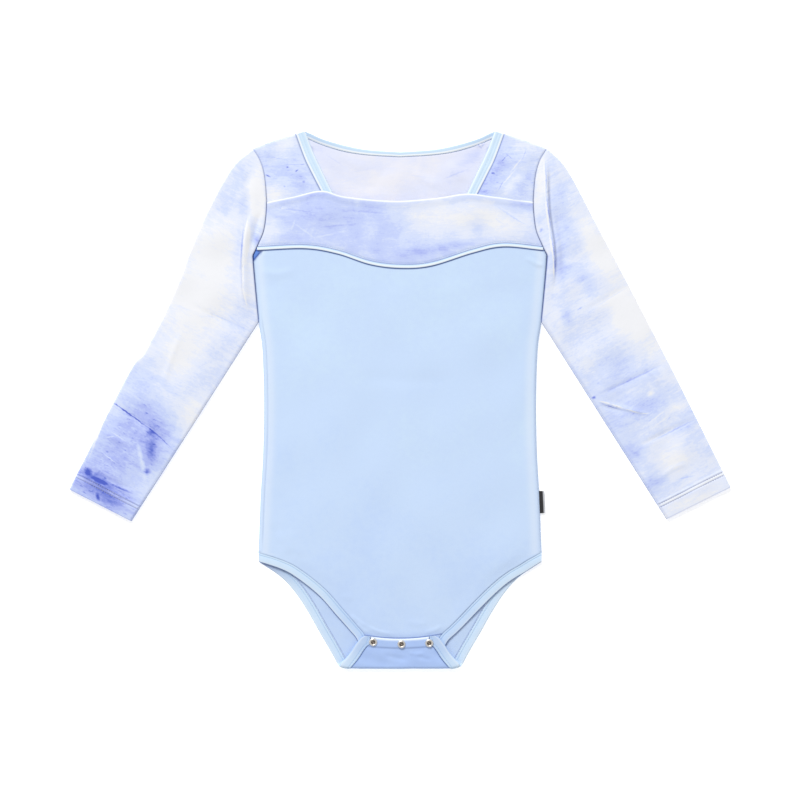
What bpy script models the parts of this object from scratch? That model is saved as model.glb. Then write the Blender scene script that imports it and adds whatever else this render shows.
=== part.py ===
"""A child's long-sleeved dance leotard, laid flat on its back with the sleeves spread.

Metres, +Z up. The back rests on z = 0, +Y points to the neck and +X to the right as it is looked
down on. The origin is the middle of the outline, on the surface. The layers are, from below: the
back yoke and back body, the front shoulders and front body, the chest band with its piping, and at
the crotch the flap of the back body, which folds up over the front and closes with three snaps.
"""

import math

import bmesh
import bpy
import numpy as np
from mathutils import Vector

# Cloth, seams and the heights of the layers. The bindings and the piping are folded double
CLOTH = 0.0012
BINDING_WALL = 0.0018
BINDING_EDGE_RADIUS = 0.0004
PIPING_WALL = 0.0016
SEAM_GAP = 0.0003
FRONT_LEVEL = CLOTH + SEAM_GAP
BAND_LEVEL = FRONT_LEVEL + CLOTH + SEAM_GAP

# Body. Half widths from the armpit down the side seam to the corner of the leg opening
ARMPIT = (0.1392, 0.1368)
LEG_CORNER = (0.1340, -0.1536)
SIDE = (  # half width, y
    ARMPIT,
    (0.1378, 0.1188),
    (0.1335, 0.0741),
    (0.1300, 0.0475),
    (0.1285, 0.0000),
    (0.1292, -0.0475),
    (0.1318, -0.0950),
    LEG_CORNER,
)
SHOULDER_POINT = (0.1387, 0.2380)
ARMHOLE = (  # half width, y
    SHOULDER_POINT,
    (0.1325, 0.2275),
    (0.1284, 0.2138),
    (0.1265, 0.1938),
    (0.1266, 0.1786),
    (0.1290, 0.1606),
    (0.1345, 0.1473),
    ARMPIT,
)
UNDERARM_PARTING = (0.1335, 0.0741)
SHOULDER_BOW = 0.0008
YOKE_SEAM_Y = 0.1350

# Air left in the garment, which lifts the front
PUFF = 0.0020
PUFF_TOP_Y = 0.2500
PUFF_TOP_FADE = 0.0600
PUFF_CROTCH_Y = -0.2350
PUFF_CROTCH_FADE = 0.1100
PUFF_OUTLINE = (  # y, half width
    (-0.2500, 0.0400),
    (-0.2200, 0.0520),
    (-0.1900, 0.0800),
    (-0.1536, 0.1340),
    (0.0000, 0.1285),
    (0.1368, 0.1392),
    (0.1900, 0.1280),
    (0.2380, 0.1390),
    (0.2550, 0.1000),
)

# Neckline
NECK_FRONT_FREE = (  # half width, y
    (0.0898, 0.2549),
    (0.0828, 0.2363),
    (0.0752, 0.2199),
    (0.0650, 0.1986),
    (0.0575, 0.1835),
)
NECK_FRONT_SEAM = (  # half width, y
    (0.0992, 0.2520),
    (0.0907, 0.2290),
    (0.0842, 0.2155),
    (0.0752, 0.1980),
    (0.0680, 0.1835),
)
NECK_BACK_FREE = (  # half width, y
    (0.0000, 0.2354),
    (0.0310, 0.2376),
    (0.0525, 0.2417),
    (0.0729, 0.2476),
    (0.0850, 0.2530),
    (0.0895, 0.2547),
)
NECK_BACK_SEAM = (  # half width, y
    (0.0000, 0.2308),
    (0.0300, 0.2325),
    (0.0525, 0.2358),
    (0.0729, 0.2418),
    (0.0880, 0.2482),
    (0.0980, 0.2518),
)

# Chest band and the front shoulders that run under it
BAND_TOP = (  # x, y
    (-0.1268, 0.1874),
    (-0.1000, 0.1930),
    (-0.0745, 0.1982),
    (-0.0520, 0.1925),
    (-0.0050, 0.1885),
    (0.0340, 0.1913),
    (0.0632, 0.1953),
    (0.0880, 0.1927),
    (0.1268, 0.1879),
)
CHEST_SEAM = (  # x, y
    (-0.1354, 0.1452),
    (-0.0900, 0.1468),
    (-0.0590, 0.1417),
    (-0.0280, 0.1316),
    (0.0010, 0.1281),
    (0.0300, 0.1304),
    (0.0690, 0.1426),
    (0.0980, 0.1485),
    (0.1354, 0.1452),
)
PIPING_WIDTH = 0.0036
SEAM_ALLOWANCE = 0.0060
SHOULDER_END_Y = (0.1850, 0.1790)

# The band is humped where it lies over the ends of the neck bindings
NECK_HUMP_X = 0.0680
NECK_HUMP_HEIGHT = 0.0011
NECK_HUMP_WIDTH = 0.0170
NECK_HUMP_Y = 0.1600
NECK_HUMP_FADE = 0.0200

# Leg openings and the crotch fold. Past the fold, y runs on along the flat cloth. The back
# bindings' seams are wider, because the inside of the fold pinches them
LEG_BINDING_WIDTH = 0.0090
FOLDED_SEAM_GAP = 0.0007
FRONT_LEG_LEFT = (  # x, y
    (-0.1340, -0.1536),
    (-0.1207, -0.1577),
    (-0.1064, -0.1634),
    (-0.0898, -0.1748),
    (-0.0750, -0.1876),
    (-0.0608, -0.2040),
    (-0.0480, -0.2185),
    (-0.0400, -0.2295),
    (-0.0375, -0.2460),
)
FRONT_LEG_RIGHT = (  # x, y
    (0.1340, -0.1536),
    (0.1192, -0.1631),
    (0.1045, -0.1720),
    (0.0903, -0.1840),
    (0.0756, -0.1986),
    (0.0574, -0.2176),
    (0.0435, -0.2315),
    (0.0405, -0.2460),
)
BACK_LEG = (  # half width, y along the flat cloth
    LEG_CORNER,
    (0.1135, -0.1676),
    (0.1000, -0.1820),
    (0.0880, -0.2000),
    (0.0770, -0.2195),
    (0.0668, -0.2370),
    (0.0603, -0.2490),
    (0.0572, -0.2560),
    (0.0553, -0.2625),
    (0.0466, -0.2727),
    (0.0418, -0.2796),
    (0.0372, -0.2855),
    (0.0330, -0.2885),
)
FOLD_RADIUS = 0.0028
FOLD_Y = -0.2549 + FOLD_RADIUS
FLAP_TOP = 2 * FOLD_RADIUS
SNAPS = {  # x, y
    "left": (-0.0254, -0.2292),
    "middle": (0.0014, -0.2311),
    "right": (0.0276, -0.2302),
}
SNAP_RADIUS = 0.0041
STUD_RADIUS = 0.0022
STUD_WALL = 0.0008
SNAP_STEPS = 28

# Sleeves. Each is one tube, pressed flat, with its seam along the underarm
SLEEVE_EDGE_HEIGHT = 0.0036
SLEEVE_CROWN = 0.0012
SLEEVE_GAP = 0.0005
SLEEVE_HEM = 0.0130
HEM_SHARE = 0.94
EDGE_TURNS = (0, 35, 65, 90)
SLEEVE_COLUMNS = (0.10, 0.20, 0.32, 0.44, 0.54, 0.74, 0.84, 0.92)
SLEEVE_OUTER = {  # half width, y
    "left": (
        (0.1398, 0.2381),
        (0.1606, 0.2185),
        (0.1881, 0.1672),
        (0.2157, 0.0988),
        (0.2413, 0.0470),
        (0.2518, 0.0350),
        (0.2721, -0.0025),
        (0.3139, -0.0846),
    ),
    "right": (
        (0.1398, 0.2388),
        (0.1587, 0.2185),
        (0.1862, 0.1672),
        (0.2223, 0.0988),
        (0.2575, 0.0304),
        (0.2746, -0.0038),
        (0.3139, -0.0825),
    ),
}
CUFF_INNER = {"left": (0.2546, -0.1150), "right": (0.2527, -0.1130)}
SLEEVE_FOLDS = {  # half width and y of both ends, sideways bow, height, breadth
    "left": (
        (0.1415, 0.1755, 0.1435, 0.0940, 0.0060, 0.0014, 0.0040),
        (0.1345, 0.2050, 0.1375, 0.1150, 0.0030, -0.0008, 0.0035),
    ),
    "right": (
        (0.1385, 0.2300, 0.1480, 0.1100, 0.0020, 0.0015, 0.0035),
        (0.1460, 0.1900, 0.1560, 0.0980, 0.0020, -0.0009, 0.0050),
    ),
}

# Label in the side seam
LABEL_TOP_Y = -0.0864
LABEL_BOTTOM_Y = -0.1074
LABEL_REACH = 0.0058
LABEL_WALL = 0.0010
LABEL_LOOP = 0.0024

MATERIALS = {  # colour, roughness, metallic
    "body_blue": ((0.60, 0.75, 0.97), 0.55, 0.0),
    "binding_blue": ((0.70, 0.86, 0.98), 0.50, 0.0),
    "dyed_print": ((0.68, 0.72, 0.95), 0.60, 0.0),
    "dyed_wrong_side": ((0.86, 0.87, 0.96), 0.70, 0.0),
    "snap_metal": ((0.75, 0.74, 0.72), 0.25, 1.0),
    "label_grey": ((0.06, 0.06, 0.07), 0.60, 0.0),
}


def ease(t):
    """A smooth step from 0 to 1."""
    t = min(max(t, 0.0), 1.0)
    return t * t * (3 - 2 * t)


def dense_line(points, steps=16):
    """A smooth curve through a few points, as closely spaced points."""
    p = np.array(points, float)
    ends = np.vstack([2 * p[0] - p[1], p, 2 * p[-1] - p[-2]])
    line = []
    for before, a, b, after in zip(ends, ends[1:], ends[2:], ends[3:]):
        for t in np.arange(steps) / steps:
            line.append(
                a
                + 0.5 * t * (b - before)
                + t**2 * (before - 2.5 * a + 2 * b - 0.5 * after)
                + t**3 * (1.5 * (a - b) + 0.5 * (after - before))
            )
    return np.vstack([line, p[-1]])


def lengths(line):
    return np.concatenate([[0], np.cumsum(np.linalg.norm(np.diff(line, axis=0), axis=1))])


def at(line, share):
    """The point at a share of the line's length."""
    run = lengths(line)
    return np.array([np.interp(share * run[-1], run, line[:, k]) for k in (0, 1)])


def points_along(line, count):
    return [at(line, share) for share in np.linspace(0, 1, count)]


def x_at(line, y):
    """The half width of an outline that runs steadily downwards, at a height."""
    return float(np.interp(-y, -line[:, 1], line[:, 0]))


def y_at(line, x):
    return float(np.interp(x, line[:, 0], line[:, 1]))


def inset(points, width, first):
    """The points moved sideways by a width, and the first one in its own direction."""
    p = np.array(points)
    along = np.gradient(p, axis=0)
    across = np.stack([along[:, 1], -along[:, 0]], axis=1)
    across /= np.linalg.norm(across, axis=1)[:, None]
    if across[len(p) // 2] @ np.array(first) < 0:
        across = -across
    across[0] = first
    return [a + width * b for a, b in zip(p, across)]


def between(a, b, columns):
    """A row of points from a to b."""
    return [a + (b - a) * u for u in columns]


def puff(x, y):
    """How far the air left in the garment lifts its front at a place."""
    edge = np.interp(y, *zip(*PUFF_OUTLINE))
    across = 1 - min(abs(x) / edge, 1) ** 4
    return (
        PUFF
        * across
        * ease((PUFF_TOP_Y - y) / PUFF_TOP_FADE)
        * ease((y - PUFF_CROTCH_Y) / PUFF_CROTCH_FADE)
    )


def on_front(p):
    return Vector((p[0], p[1], FRONT_LEVEL + puff(*p)))


def on_band(p):
    """Over the front panels, and humped where the neck bindings run underneath."""
    x, y = p
    hump = math.exp(-(((abs(x) - NECK_HUMP_X) / NECK_HUMP_WIDTH) ** 2))
    rise = NECK_HUMP_HEIGHT * hump * ease((y - NECK_HUMP_Y) / NECK_HUMP_FADE)
    return Vector((x, y, BAND_LEVEL + puff(x, y) + rise))


def on_back(p):
    """Flat on the surface, then round the crotch fold and back up over the front."""
    x, y = p
    past = FOLD_Y - y
    if past <= 0:
        return Vector((x, y, 0))
    turn = past / FOLD_RADIUS
    if turn < math.pi:
        return Vector((x, FOLD_Y - FOLD_RADIUS * math.sin(turn), FOLD_RADIUS * (1 - math.cos(turn))))
    return Vector((x, FOLD_Y + past - math.pi * FOLD_RADIUS, FLAP_TOP))


def material(name):
    colour, roughness, metallic = MATERIALS[name]
    made = bpy.data.materials.get(name) or bpy.data.materials.new(name)
    made.use_nodes = True
    shader = made.node_tree.nodes["Principled BSDF"]
    shader.inputs["Base Color"].default_value = (*colour, 1)
    shader.inputs["Roughness"].default_value = roughness
    shader.inputs["Metallic"].default_value = metallic
    made.diffuse_color = (*colour, 1)
    return made


def add_object(name, mesh, finish):
    mesh.materials.append(material(finish))
    obj = bpy.data.objects.new(name, mesh)
    garment.objects.link(obj)
    mesh.shade_smooth()
    mesh.set_sharp_from_angle(angle=math.radians(40))
    return obj


def grid_mesh(name, rows, ring=False):
    """A surface through rows of 3-D points. A ring closes each row on itself, facing out."""
    bm = bmesh.new()
    across, along = len(rows[0]) - 1, len(rows) - 1
    bmesh.ops.create_grid(bm, x_segments=across, y_segments=along, size=0.5)
    for v in bm.verts:
        v.co = rows[round((v.co.y + 0.5) * along)][round((v.co.x + 0.5) * across)]
    if ring:
        bmesh.ops.remove_doubles(bm, verts=bm.verts, dist=1e-6)
    bm.normal_update()
    bm.faces.ensure_lookup_table()
    turned = bm.calc_volume(signed=True) < 0 if ring else bm.faces[0].normal.z < 0
    if turned:
        bmesh.ops.reverse_faces(bm, faces=bm.faces)
    mesh = bpy.data.meshes.new(name)
    bm.to_mesh(mesh)
    bm.free()
    return mesh


def cloth(name, rows, finish, wall=CLOTH, rounded=False):
    """A cloth wall that grows upwards, or inwards past the fold, from rows of points."""
    obj = add_object(name, grid_mesh(name, rows), finish)
    thicken = obj.modifiers.new("wall", "SOLIDIFY")
    thicken.thickness = wall
    thicken.offset = 1
    thicken.use_even_offset = True
    if rounded:
        soften = obj.modifiers.new("rounded edge", "BEVEL")
        soften.width = BINDING_EDGE_RADIUS
        soften.segments = 2
        soften.limit_method = "ANGLE"
    return obj


def side_line():
    return dense_line(SIDE)


def neck_columns():
    """Half widths at which the yoke's neck edge and the binding's seam both have points."""
    return list(np.linspace(0, NECK_BACK_SEAM[-1][0], 9))


def chest_columns():
    """Shares of the half width at which the band's lower edge and the piping have points."""
    return np.linspace(-1, 1, 33)


def make_back_yoke():
    """The dyed upper back, from the yoke seam up to the shoulder and neck seams."""
    armhole = dense_line(ARMHOLE)
    neck = dense_line(NECK_BACK_SEAM)
    neck_corner = NECK_BACK_SEAM[-1]
    shoulder = np.array([neck_corner, SHOULDER_POINT])

    def top(x):
        return y_at(neck, abs(x)) if abs(x) < neck_corner[0] else y_at(shoulder, abs(x))

    half = [*neck_columns(), *np.linspace(neck_corner[0], SHOULDER_POINT[0], 4)[1:]]
    shares = [x / SHOULDER_POINT[0] for x in half]
    columns = [-u for u in shares[:0:-1]] + shares
    rows = []
    for lift in np.linspace(0, 1, 10):
        row = []
        for u in columns:
            x_top = u * SHOULDER_POINT[0]
            y = YOKE_SEAM_Y + SEAM_GAP + lift * (top(x_top) - YOKE_SEAM_Y - SEAM_GAP)
            edge_y = YOKE_SEAM_Y + lift * (SHOULDER_POINT[1] - YOKE_SEAM_Y)
            edge = SHOULDER_POINT[0] if lift == 1 else x_at(armhole, edge_y)
            row.append(on_back((u * edge, y)))
        rows.append(row)
    cloth("back_yoke", rows, "dyed_wrong_side")


def fold_rows(top, bottom):
    """Heights along the flat cloth of the back: even, and close together round the fold."""
    fold_end = FOLD_Y - math.pi * FOLD_RADIUS
    return [
        *np.linspace(top, FOLD_Y, 14, endpoint=False),
        *np.linspace(FOLD_Y, fold_end, 9),
        *np.linspace(fold_end, bottom, 6)[1:],
    ]


def back_leg_lines():
    """The back's leg edge and, a binding's width inside it, the seam of the binding."""
    free = dense_line(BACK_LEG)
    up_the_side = (0, 1)
    seam = np.array(inset(free, LEG_BINDING_WIDTH, up_the_side))
    seam[0, 0] = x_at(side_line(), seam[0, 1])
    rows = fold_rows(seam[0, 1], BACK_LEG[-1][1])
    return free, np.array([(x_at(seam, y), y) for y in rows])


def make_back_body():
    """The blue back, whose crotch end folds up over the front as a flap."""
    side = side_line()
    seam = back_leg_lines()[1]
    columns = np.linspace(-1, 1, 13)
    rows = []
    for y in np.linspace(YOKE_SEAM_Y, seam[0][1], 10, endpoint=False):
        rows.append([on_back((u * x_at(side, y), y)) for u in columns])
    for x, y in seam:
        rows.append([on_back((u * x, y)) for u in columns])
    cloth("back_body", rows, "body_blue")


def make_back_leg_bindings():
    """Each binding follows the back's leg edge, round the fold and up the side of the flap."""
    free, seam = back_leg_lines()
    side = side_line()
    heights = [seam[0, 1] - 1.5 * FOLDED_SEAM_GAP, *seam[1:, 1]]
    for name, sign in (("left", -1), ("right", 1)):
        rows = []
        for y in heights:
            outer = x_at(free, y) if y < LEG_CORNER[1] else x_at(side, y)
            inner = x_at(seam, y) + FOLDED_SEAM_GAP
            rows.append([on_back((sign * inner, y)), on_back((sign * outer, y))])
        cloth(f"leg_binding_back_{name}", rows, "binding_blue")


def front_leg_lines(name):
    """The front's leg edge and the seam of its binding, as matching points."""
    free = points_along(dense_line(FRONT_LEG_LEFT if name == "left" else FRONT_LEG_RIGHT), 15)
    seam = inset(free, LEG_BINDING_WIDTH, (0, 1))
    return free, seam


def make_front_body():
    """The blue front, from under the chest band down to the crotch end under the flap."""
    side = np.vstack([dense_line(ARMHOLE)[:-1], side_line()])
    chest = dense_line(CHEST_SEAM)
    left, right = (front_leg_lines(name)[1] for name in ("left", "right"))
    top = CHEST_SEAM[0][1] + SEAM_ALLOWANCE
    seam_top = left[0][1]
    columns = np.linspace(0, 1, 21)
    rows = []
    for drop in np.linspace(0, 1, 13, endpoint=False):
        y = top + (seam_top - top) * drop
        row = []
        for x in np.interp(columns, [0, 1], [-x_at(side, y), x_at(side, y)]):
            dip = (y_at(chest, x) - CHEST_SEAM[0][1]) * (1 - drop) ** 3
            row.append(on_front((x, y + dip)))
        rows.append(row)
    for a, b in zip(left, right):
        rows.append([on_front(p) for p in between(a, b, columns)])
    cloth("front_body", rows, "body_blue")


def make_front_leg_bindings():
    for name in ("left", "right"):
        free, seam = front_leg_lines(name)
        rows = []
        for a, b in zip(free, seam):
            inner = b + (a - b) * (SEAM_GAP / LEG_BINDING_WIDTH)
            rows.append([on_front(p) for p in between(inner, a, (0, 0.5, 1))])
        cloth(f"leg_binding_front_{name}", rows, "binding_blue", BINDING_WALL, rounded=True)


def make_front_shoulders():
    """The dyed panels between the neck binding and the armhole, which end under the band."""
    neck, armhole = dense_line(NECK_FRONT_SEAM), dense_line(ARMHOLE)
    for name, sign in (("left", -1), ("right", 1)):
        rows = []
        for drop in np.linspace(0, 1, 9):
            neck_y = NECK_FRONT_SEAM[0][1] * (1 - drop) + SHOULDER_END_Y[0] * drop
            arm_y = SHOULDER_POINT[1] * (1 - drop) + SHOULDER_END_Y[1] * drop
            a = np.array([x_at(neck, neck_y) + 1.2 * SEAM_GAP, neck_y])
            b = np.array([x_at(armhole, arm_y), arm_y])
            row = []
            for u in np.linspace(0, 1, 9):
                x, y = a + (b - a) * u
                y += SHOULDER_BOW * 4 * u * (1 - u) * (1 - drop)
                row.append(on_front((sign * x, y)))
            rows.append(row)
        cloth(f"front_shoulder_{name}", rows, "dyed_print")


def make_neck_bindings():
    """The front's two straight stretches lie on the front, the back's curve on the surface."""
    free, seam = (points_along(dense_line(edge), 12) for edge in (NECK_FRONT_FREE, NECK_FRONT_SEAM))
    for name, sign in (("left", -1), ("right", 1)):
        rows = []
        for a, b in zip(free, seam):
            row = between(a, b, (0, 0.5, 1))
            rows.append([on_front((sign * x, y)) for x, y in row])
        cloth(f"neck_binding_front_{name}", rows, "binding_blue", BINDING_WALL, rounded=True)

    seam = dense_line(NECK_BACK_SEAM)
    lower = [(x, y_at(seam, x) + 1.1 * SEAM_GAP) for x in neck_columns()]
    upper = points_along(dense_line(NECK_BACK_FREE), len(lower))
    half = list(zip(lower, upper))
    rows = [[on_back((-x, y)) for x, y in pair] for pair in half[:0:-1]]
    rows += [[on_back(p) for p in pair] for pair in half]
    cloth("neck_binding_back", rows, "binding_blue")


def make_chest_band():
    """The dyed band across the chest, with a free top edge and a wavy bottom one."""
    top, bottom = dense_line(BAND_TOP), dense_line(CHEST_SEAM)
    armhole = dense_line(ARMHOLE)
    rows = []
    for lift in np.linspace(0, 1, 7):
        edge_y = CHEST_SEAM[0][1] + lift * (BAND_TOP[0][1] - CHEST_SEAM[0][1])
        edge = x_at(armhole, edge_y)
        row = []
        for u in chest_columns():
            low = y_at(bottom, u * CHEST_SEAM[-1][0])
            high = y_at(top, u * BAND_TOP[-1][0])
            row.append(on_band((u * edge, low + lift * (high - low))))
        rows.append(row)
    cloth("chest_band", rows, "dyed_print")


def make_chest_piping():
    """The narrow light roll along the band's bottom edge."""
    seam = dense_line(CHEST_SEAM)
    rows = []
    for x in chest_columns() * CHEST_SEAM[-1][0]:
        top = y_at(seam, x) - SEAM_GAP
        rows.append([on_band((x, top - PIPING_WIDTH * u)) for u in (0, 0.5, 1)])
    cloth("chest_piping", rows, "binding_blue", PIPING_WALL, rounded=True)


def past_hem(line, share):
    """A point of a sleeve's edge, at a share where both edges reach the hem together."""
    length = lengths(line)[-1]
    if share < HEM_SHARE:
        return at(line, share / HEM_SHARE * (1 - SLEEVE_HEM / length))
    return at(line, 1 - SLEEVE_HEM / length * (1 - share) / (1 - HEM_SHARE))


def fold_height(folds, p):
    """The height that a sleeve's soft folds add at a place."""
    total = 0.0
    for x0, y0, x1, y1, bow, height, breadth in folds:
        start, end = np.array([x0, y0]), np.array([x1, y1])
        run = end - start
        share = float((p - start) @ run / (run @ run))
        sideways = np.array([-run[1], run[0]]) / np.linalg.norm(run)
        off = float((p - start) @ sideways) - bow * math.sin(math.pi * min(max(share, 0), 1))
        fade = ease((share + 0.1) / 0.3) * ease((1.1 - share) / 0.3)
        total += height * fade * math.exp(-((off / breadth) ** 2))
    return total


def make_sleeve(name, sign):
    """A set-in sleeve, pressed flat: the wide end follows the armhole and the body's side."""
    armhole = dense_line(ARMHOLE)
    side = dense_line(SIDE)
    side = np.vstack([side[side[:, 1] > UNDERARM_PARTING[1]], UNDERARM_PARTING])
    contact = np.vstack([armhole[:-1], side]) + np.array([SLEEVE_GAP, 0])
    armpit = lengths(armhole)[-1] / lengths(contact)[-1]
    outer = dense_line(SLEEVE_OUTER[name])
    outer[0] = contact[0]
    inner = np.array([contact[-1], CUFF_INNER[name]])
    cuff = np.array([outer[-1], inner[-1]])

    def plan(u, v):
        """The place at a share u across and v along, from the four edges."""
        corners = (
            (1 - u) * (1 - v) * contact[0]
            + u * (1 - v) * contact[-1]
            + (1 - u) * v * cuff[0]
            + u * v * cuff[1]
        )
        ends = (1 - v) * at(contact, u) + v * at(cuff, u)
        return ends + (1 - u) * past_hem(outer, v) + u * past_hem(inner, v) - corners

    radius = SLEEVE_EDGE_HEIGHT / 2
    turns = [math.radians(a) for a in EDGE_TURNS]
    middle = sorted([*SLEEVE_COLUMNS, armpit])
    rows = []
    for v in (*np.linspace(0, 0.3, 7), *np.linspace(0.37, HEM_SHARE, 10), 1):
        width = np.linalg.norm(plan(0, v) - plan(1, v))
        edge = [(radius * (1 - math.cos(a)) / width, radius * math.sin(a)) for a in turns]
        across = edge + [(u, radius) for u in middle] + [(1 - u, z) for u, z in edge[::-1]]
        over, under = [], []
        for u, z in across:
            x, y = plan(u, v)
            crown = SLEEVE_CROWN * (1 - abs(2 * u - 1) ** 3) + fold_height(SLEEVE_FOLDS[name], (x, y))
            over.append(Vector((sign * x, y, radius + z + crown * (z / radius) ** 4)))
            under.append(Vector((sign * x, y, radius - z)))
        rows.append(over + under[-2:0:-1] + over[:1])

    obj = add_object(f"sleeve_{name}", grid_mesh(name, rows, ring=True), "dyed_print")
    thicken = obj.modifiers.new("wall", "SOLIDIFY")
    thicken.thickness = CLOTH
    thicken.offset = -1
    thicken.use_even_offset = True


def make_snaps():
    """Three ring snaps: a dished cap on the flap, and under the flap its stud on the front."""
    profile = (  # radius as a share of the cap's, height
        (0.00, 0.0006),
        (0.42, 0.0006),
        (0.56, 0.0009),
        (0.80, 0.0010),
        (0.94, 0.0008),
        (1.00, 0.0004),
        (0.96, 0.0000),
        (0.00, 0.0000),
    )
    for name, (x, y) in SNAPS.items():
        mesh = bpy.data.meshes.new(f"snap_cap_{name}")
        corners = [(share * SNAP_RADIUS, 0, z) for share, z in profile]
        mesh.from_pydata(corners, [(i, i + 1) for i in range(len(corners) - 1)], [])
        cap = add_object(f"snap_cap_{name}", mesh, "snap_metal")
        cap.location = (x, y, FLAP_TOP + SEAM_GAP)
        turn = cap.modifiers.new("turned", "SCREW")
        turn.steps = turn.render_steps = SNAP_STEPS
        turn.use_merge_vertices = True
        turn.merge_threshold = 0.00005

        front_top = FRONT_LEVEL + puff(x, y) + CLOTH
        bpy.ops.mesh.primitive_cylinder_add(
            vertices=SNAP_STEPS,
            radius=STUD_RADIUS,
            depth=STUD_WALL,
            location=(x, y, front_top + SEAM_GAP + STUD_WALL / 2),
        )
        stud = bpy.context.object
        stud.name = f"snap_stud_{name}"
        stud.data.materials.append(material("snap_metal"))
        for holder in stud.users_collection:
            holder.objects.unlink(stud)
        garment.objects.link(stud)


def make_label():
    """A blank woven label, folded to a loop and caught in the right side seam."""
    radius = LABEL_LOOP / 2
    rows = []
    for y in (LABEL_TOP_Y, LABEL_BOTTOM_Y):
        root = x_at(side_line(), y) + SEAM_GAP
        tip = root + LABEL_REACH - radius
        turn = [math.radians(a) for a in range(-90, 91, 20)]
        loop = [(tip + radius * math.cos(a), radius + radius * math.sin(a)) for a in turn]
        profile = [(root, 0.0), *loop, (root, LABEL_LOOP)]
        rows.append([Vector((x, y, z)) for x, z in profile])
    cloth("side_label", rows, "label_grey", LABEL_WALL)


for old in list(bpy.data.objects):
    bpy.data.objects.remove(old)
garment = bpy.data.collections.new("dance_leotard")
bpy.context.scene.collection.children.link(garment)

make_back_yoke()
make_back_body()
make_back_leg_bindings()
make_front_body()
make_front_leg_bindings()
make_front_shoulders()
make_neck_bindings()
make_chest_band()
make_chest_piping()
make_sleeve("left", -1)
make_sleeve("right", 1)
make_snaps()
make_label()
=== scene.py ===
"""A child's dance leotard, laid out flat on a white studio table and seen from straight above."""

import functools
import math

import bmesh
import bpy
import numpy as np
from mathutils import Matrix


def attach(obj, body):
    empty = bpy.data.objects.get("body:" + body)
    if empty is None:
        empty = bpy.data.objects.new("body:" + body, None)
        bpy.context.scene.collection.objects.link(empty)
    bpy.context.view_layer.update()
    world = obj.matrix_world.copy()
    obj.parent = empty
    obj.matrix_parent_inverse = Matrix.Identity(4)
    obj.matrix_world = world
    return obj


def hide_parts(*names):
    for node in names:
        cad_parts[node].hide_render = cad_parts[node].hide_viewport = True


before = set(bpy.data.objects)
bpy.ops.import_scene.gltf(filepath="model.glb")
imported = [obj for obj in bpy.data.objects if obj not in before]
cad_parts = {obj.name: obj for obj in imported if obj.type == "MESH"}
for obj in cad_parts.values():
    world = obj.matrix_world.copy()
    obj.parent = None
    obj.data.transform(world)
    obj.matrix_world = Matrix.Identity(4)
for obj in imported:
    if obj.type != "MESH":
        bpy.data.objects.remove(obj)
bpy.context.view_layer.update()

# Camera, light and table
# The garment lies on a white studio table. A large soft light stands at its neck end, a little to
# the left, and a white room fills the shade. The camera looks straight down.
VIEW_WIDTH = 0.760
CAMERA_HEIGHT = 1.800
CAMERA_SENSOR = 36.0
LIGHT_PLACE = (-2.60, 6.80, 6.00)
LIGHT_SIZE = 3.60
LIGHT_POWER = 660.0
ROOM_LIGHT = 0.54
TABLE_SIZE = 6.0
TABLE_DROP = 0.0002
TABLE_GLOW = 0.45


def new_object(name, data, place=(0, 0, 0)):
    """An object of the scene, at its place."""
    made = bpy.data.objects.new(name, data)
    made.location = place
    bpy.context.scene.collection.objects.link(made)
    return made


camera_data = bpy.data.cameras.new("camera")
camera_data.sensor_width = CAMERA_SENSOR
camera_data.lens = CAMERA_SENSOR * CAMERA_HEIGHT / VIEW_WIDTH
bpy.context.scene.camera = new_object("camera", camera_data, (0, 0, CAMERA_HEIGHT))
bpy.context.scene.view_settings.view_transform = "Standard"

light_data = bpy.data.lights.new("soft_light", "AREA")
light_data.shape = "DISK"
light_data.size = LIGHT_SIZE
light_data.energy = LIGHT_POWER
light = new_object("soft_light", light_data, LIGHT_PLACE)
light.rotation_euler = (-light.location).to_track_quat("-Z", "Y").to_euler()

room = bpy.data.worlds.new("white_room")
room.use_nodes = True
room.node_tree.nodes["Background"].inputs["Color"].default_value = (1, 1, 1, 1)
room.node_tree.nodes["Background"].inputs["Strength"].default_value = ROOM_LIGHT
bpy.context.scene.world = room

table_mesh = bpy.data.meshes.new("table")
half = TABLE_SIZE / 2
table_mesh.from_pydata(
    [(x, y, -TABLE_DROP) for x, y in ((-half, -half), (half, -half), (half, half), (-half, half))],
    [],
    [(0, 1, 2, 3)],
)
table = new_object("table", table_mesh)


def fill(tree, node, values):
    """Sets a node's inputs, by name or place, to plain values or to other nodes' outputs."""
    for name, value in values.items():
        if isinstance(value, bpy.types.NodeSocket):
            tree.links.new(value, node.inputs[name])
        else:
            node.inputs[name].default_value = value


def new_material(name, values):
    """A material, its nodes and its shader, with the shader's plain values set."""
    made = bpy.data.materials.new(name)
    made.use_nodes = True
    shader = made.node_tree.nodes["Principled BSDF"]
    fill(made.node_tree, shader, values)
    return made, made.node_tree, shader


matt_white = {
    "Base Color": (0.98, 0.98, 0.98, 1),
    "Roughness": 0.90,
    "Specular IOR Level": 0.10,
    "Emission Color": (1, 1, 1, 1),
    "Emission Strength": TABLE_GLOW,
}
table_white, _, _ = new_material("table_white", matt_white)
table_mesh.materials.append(table_white)


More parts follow.
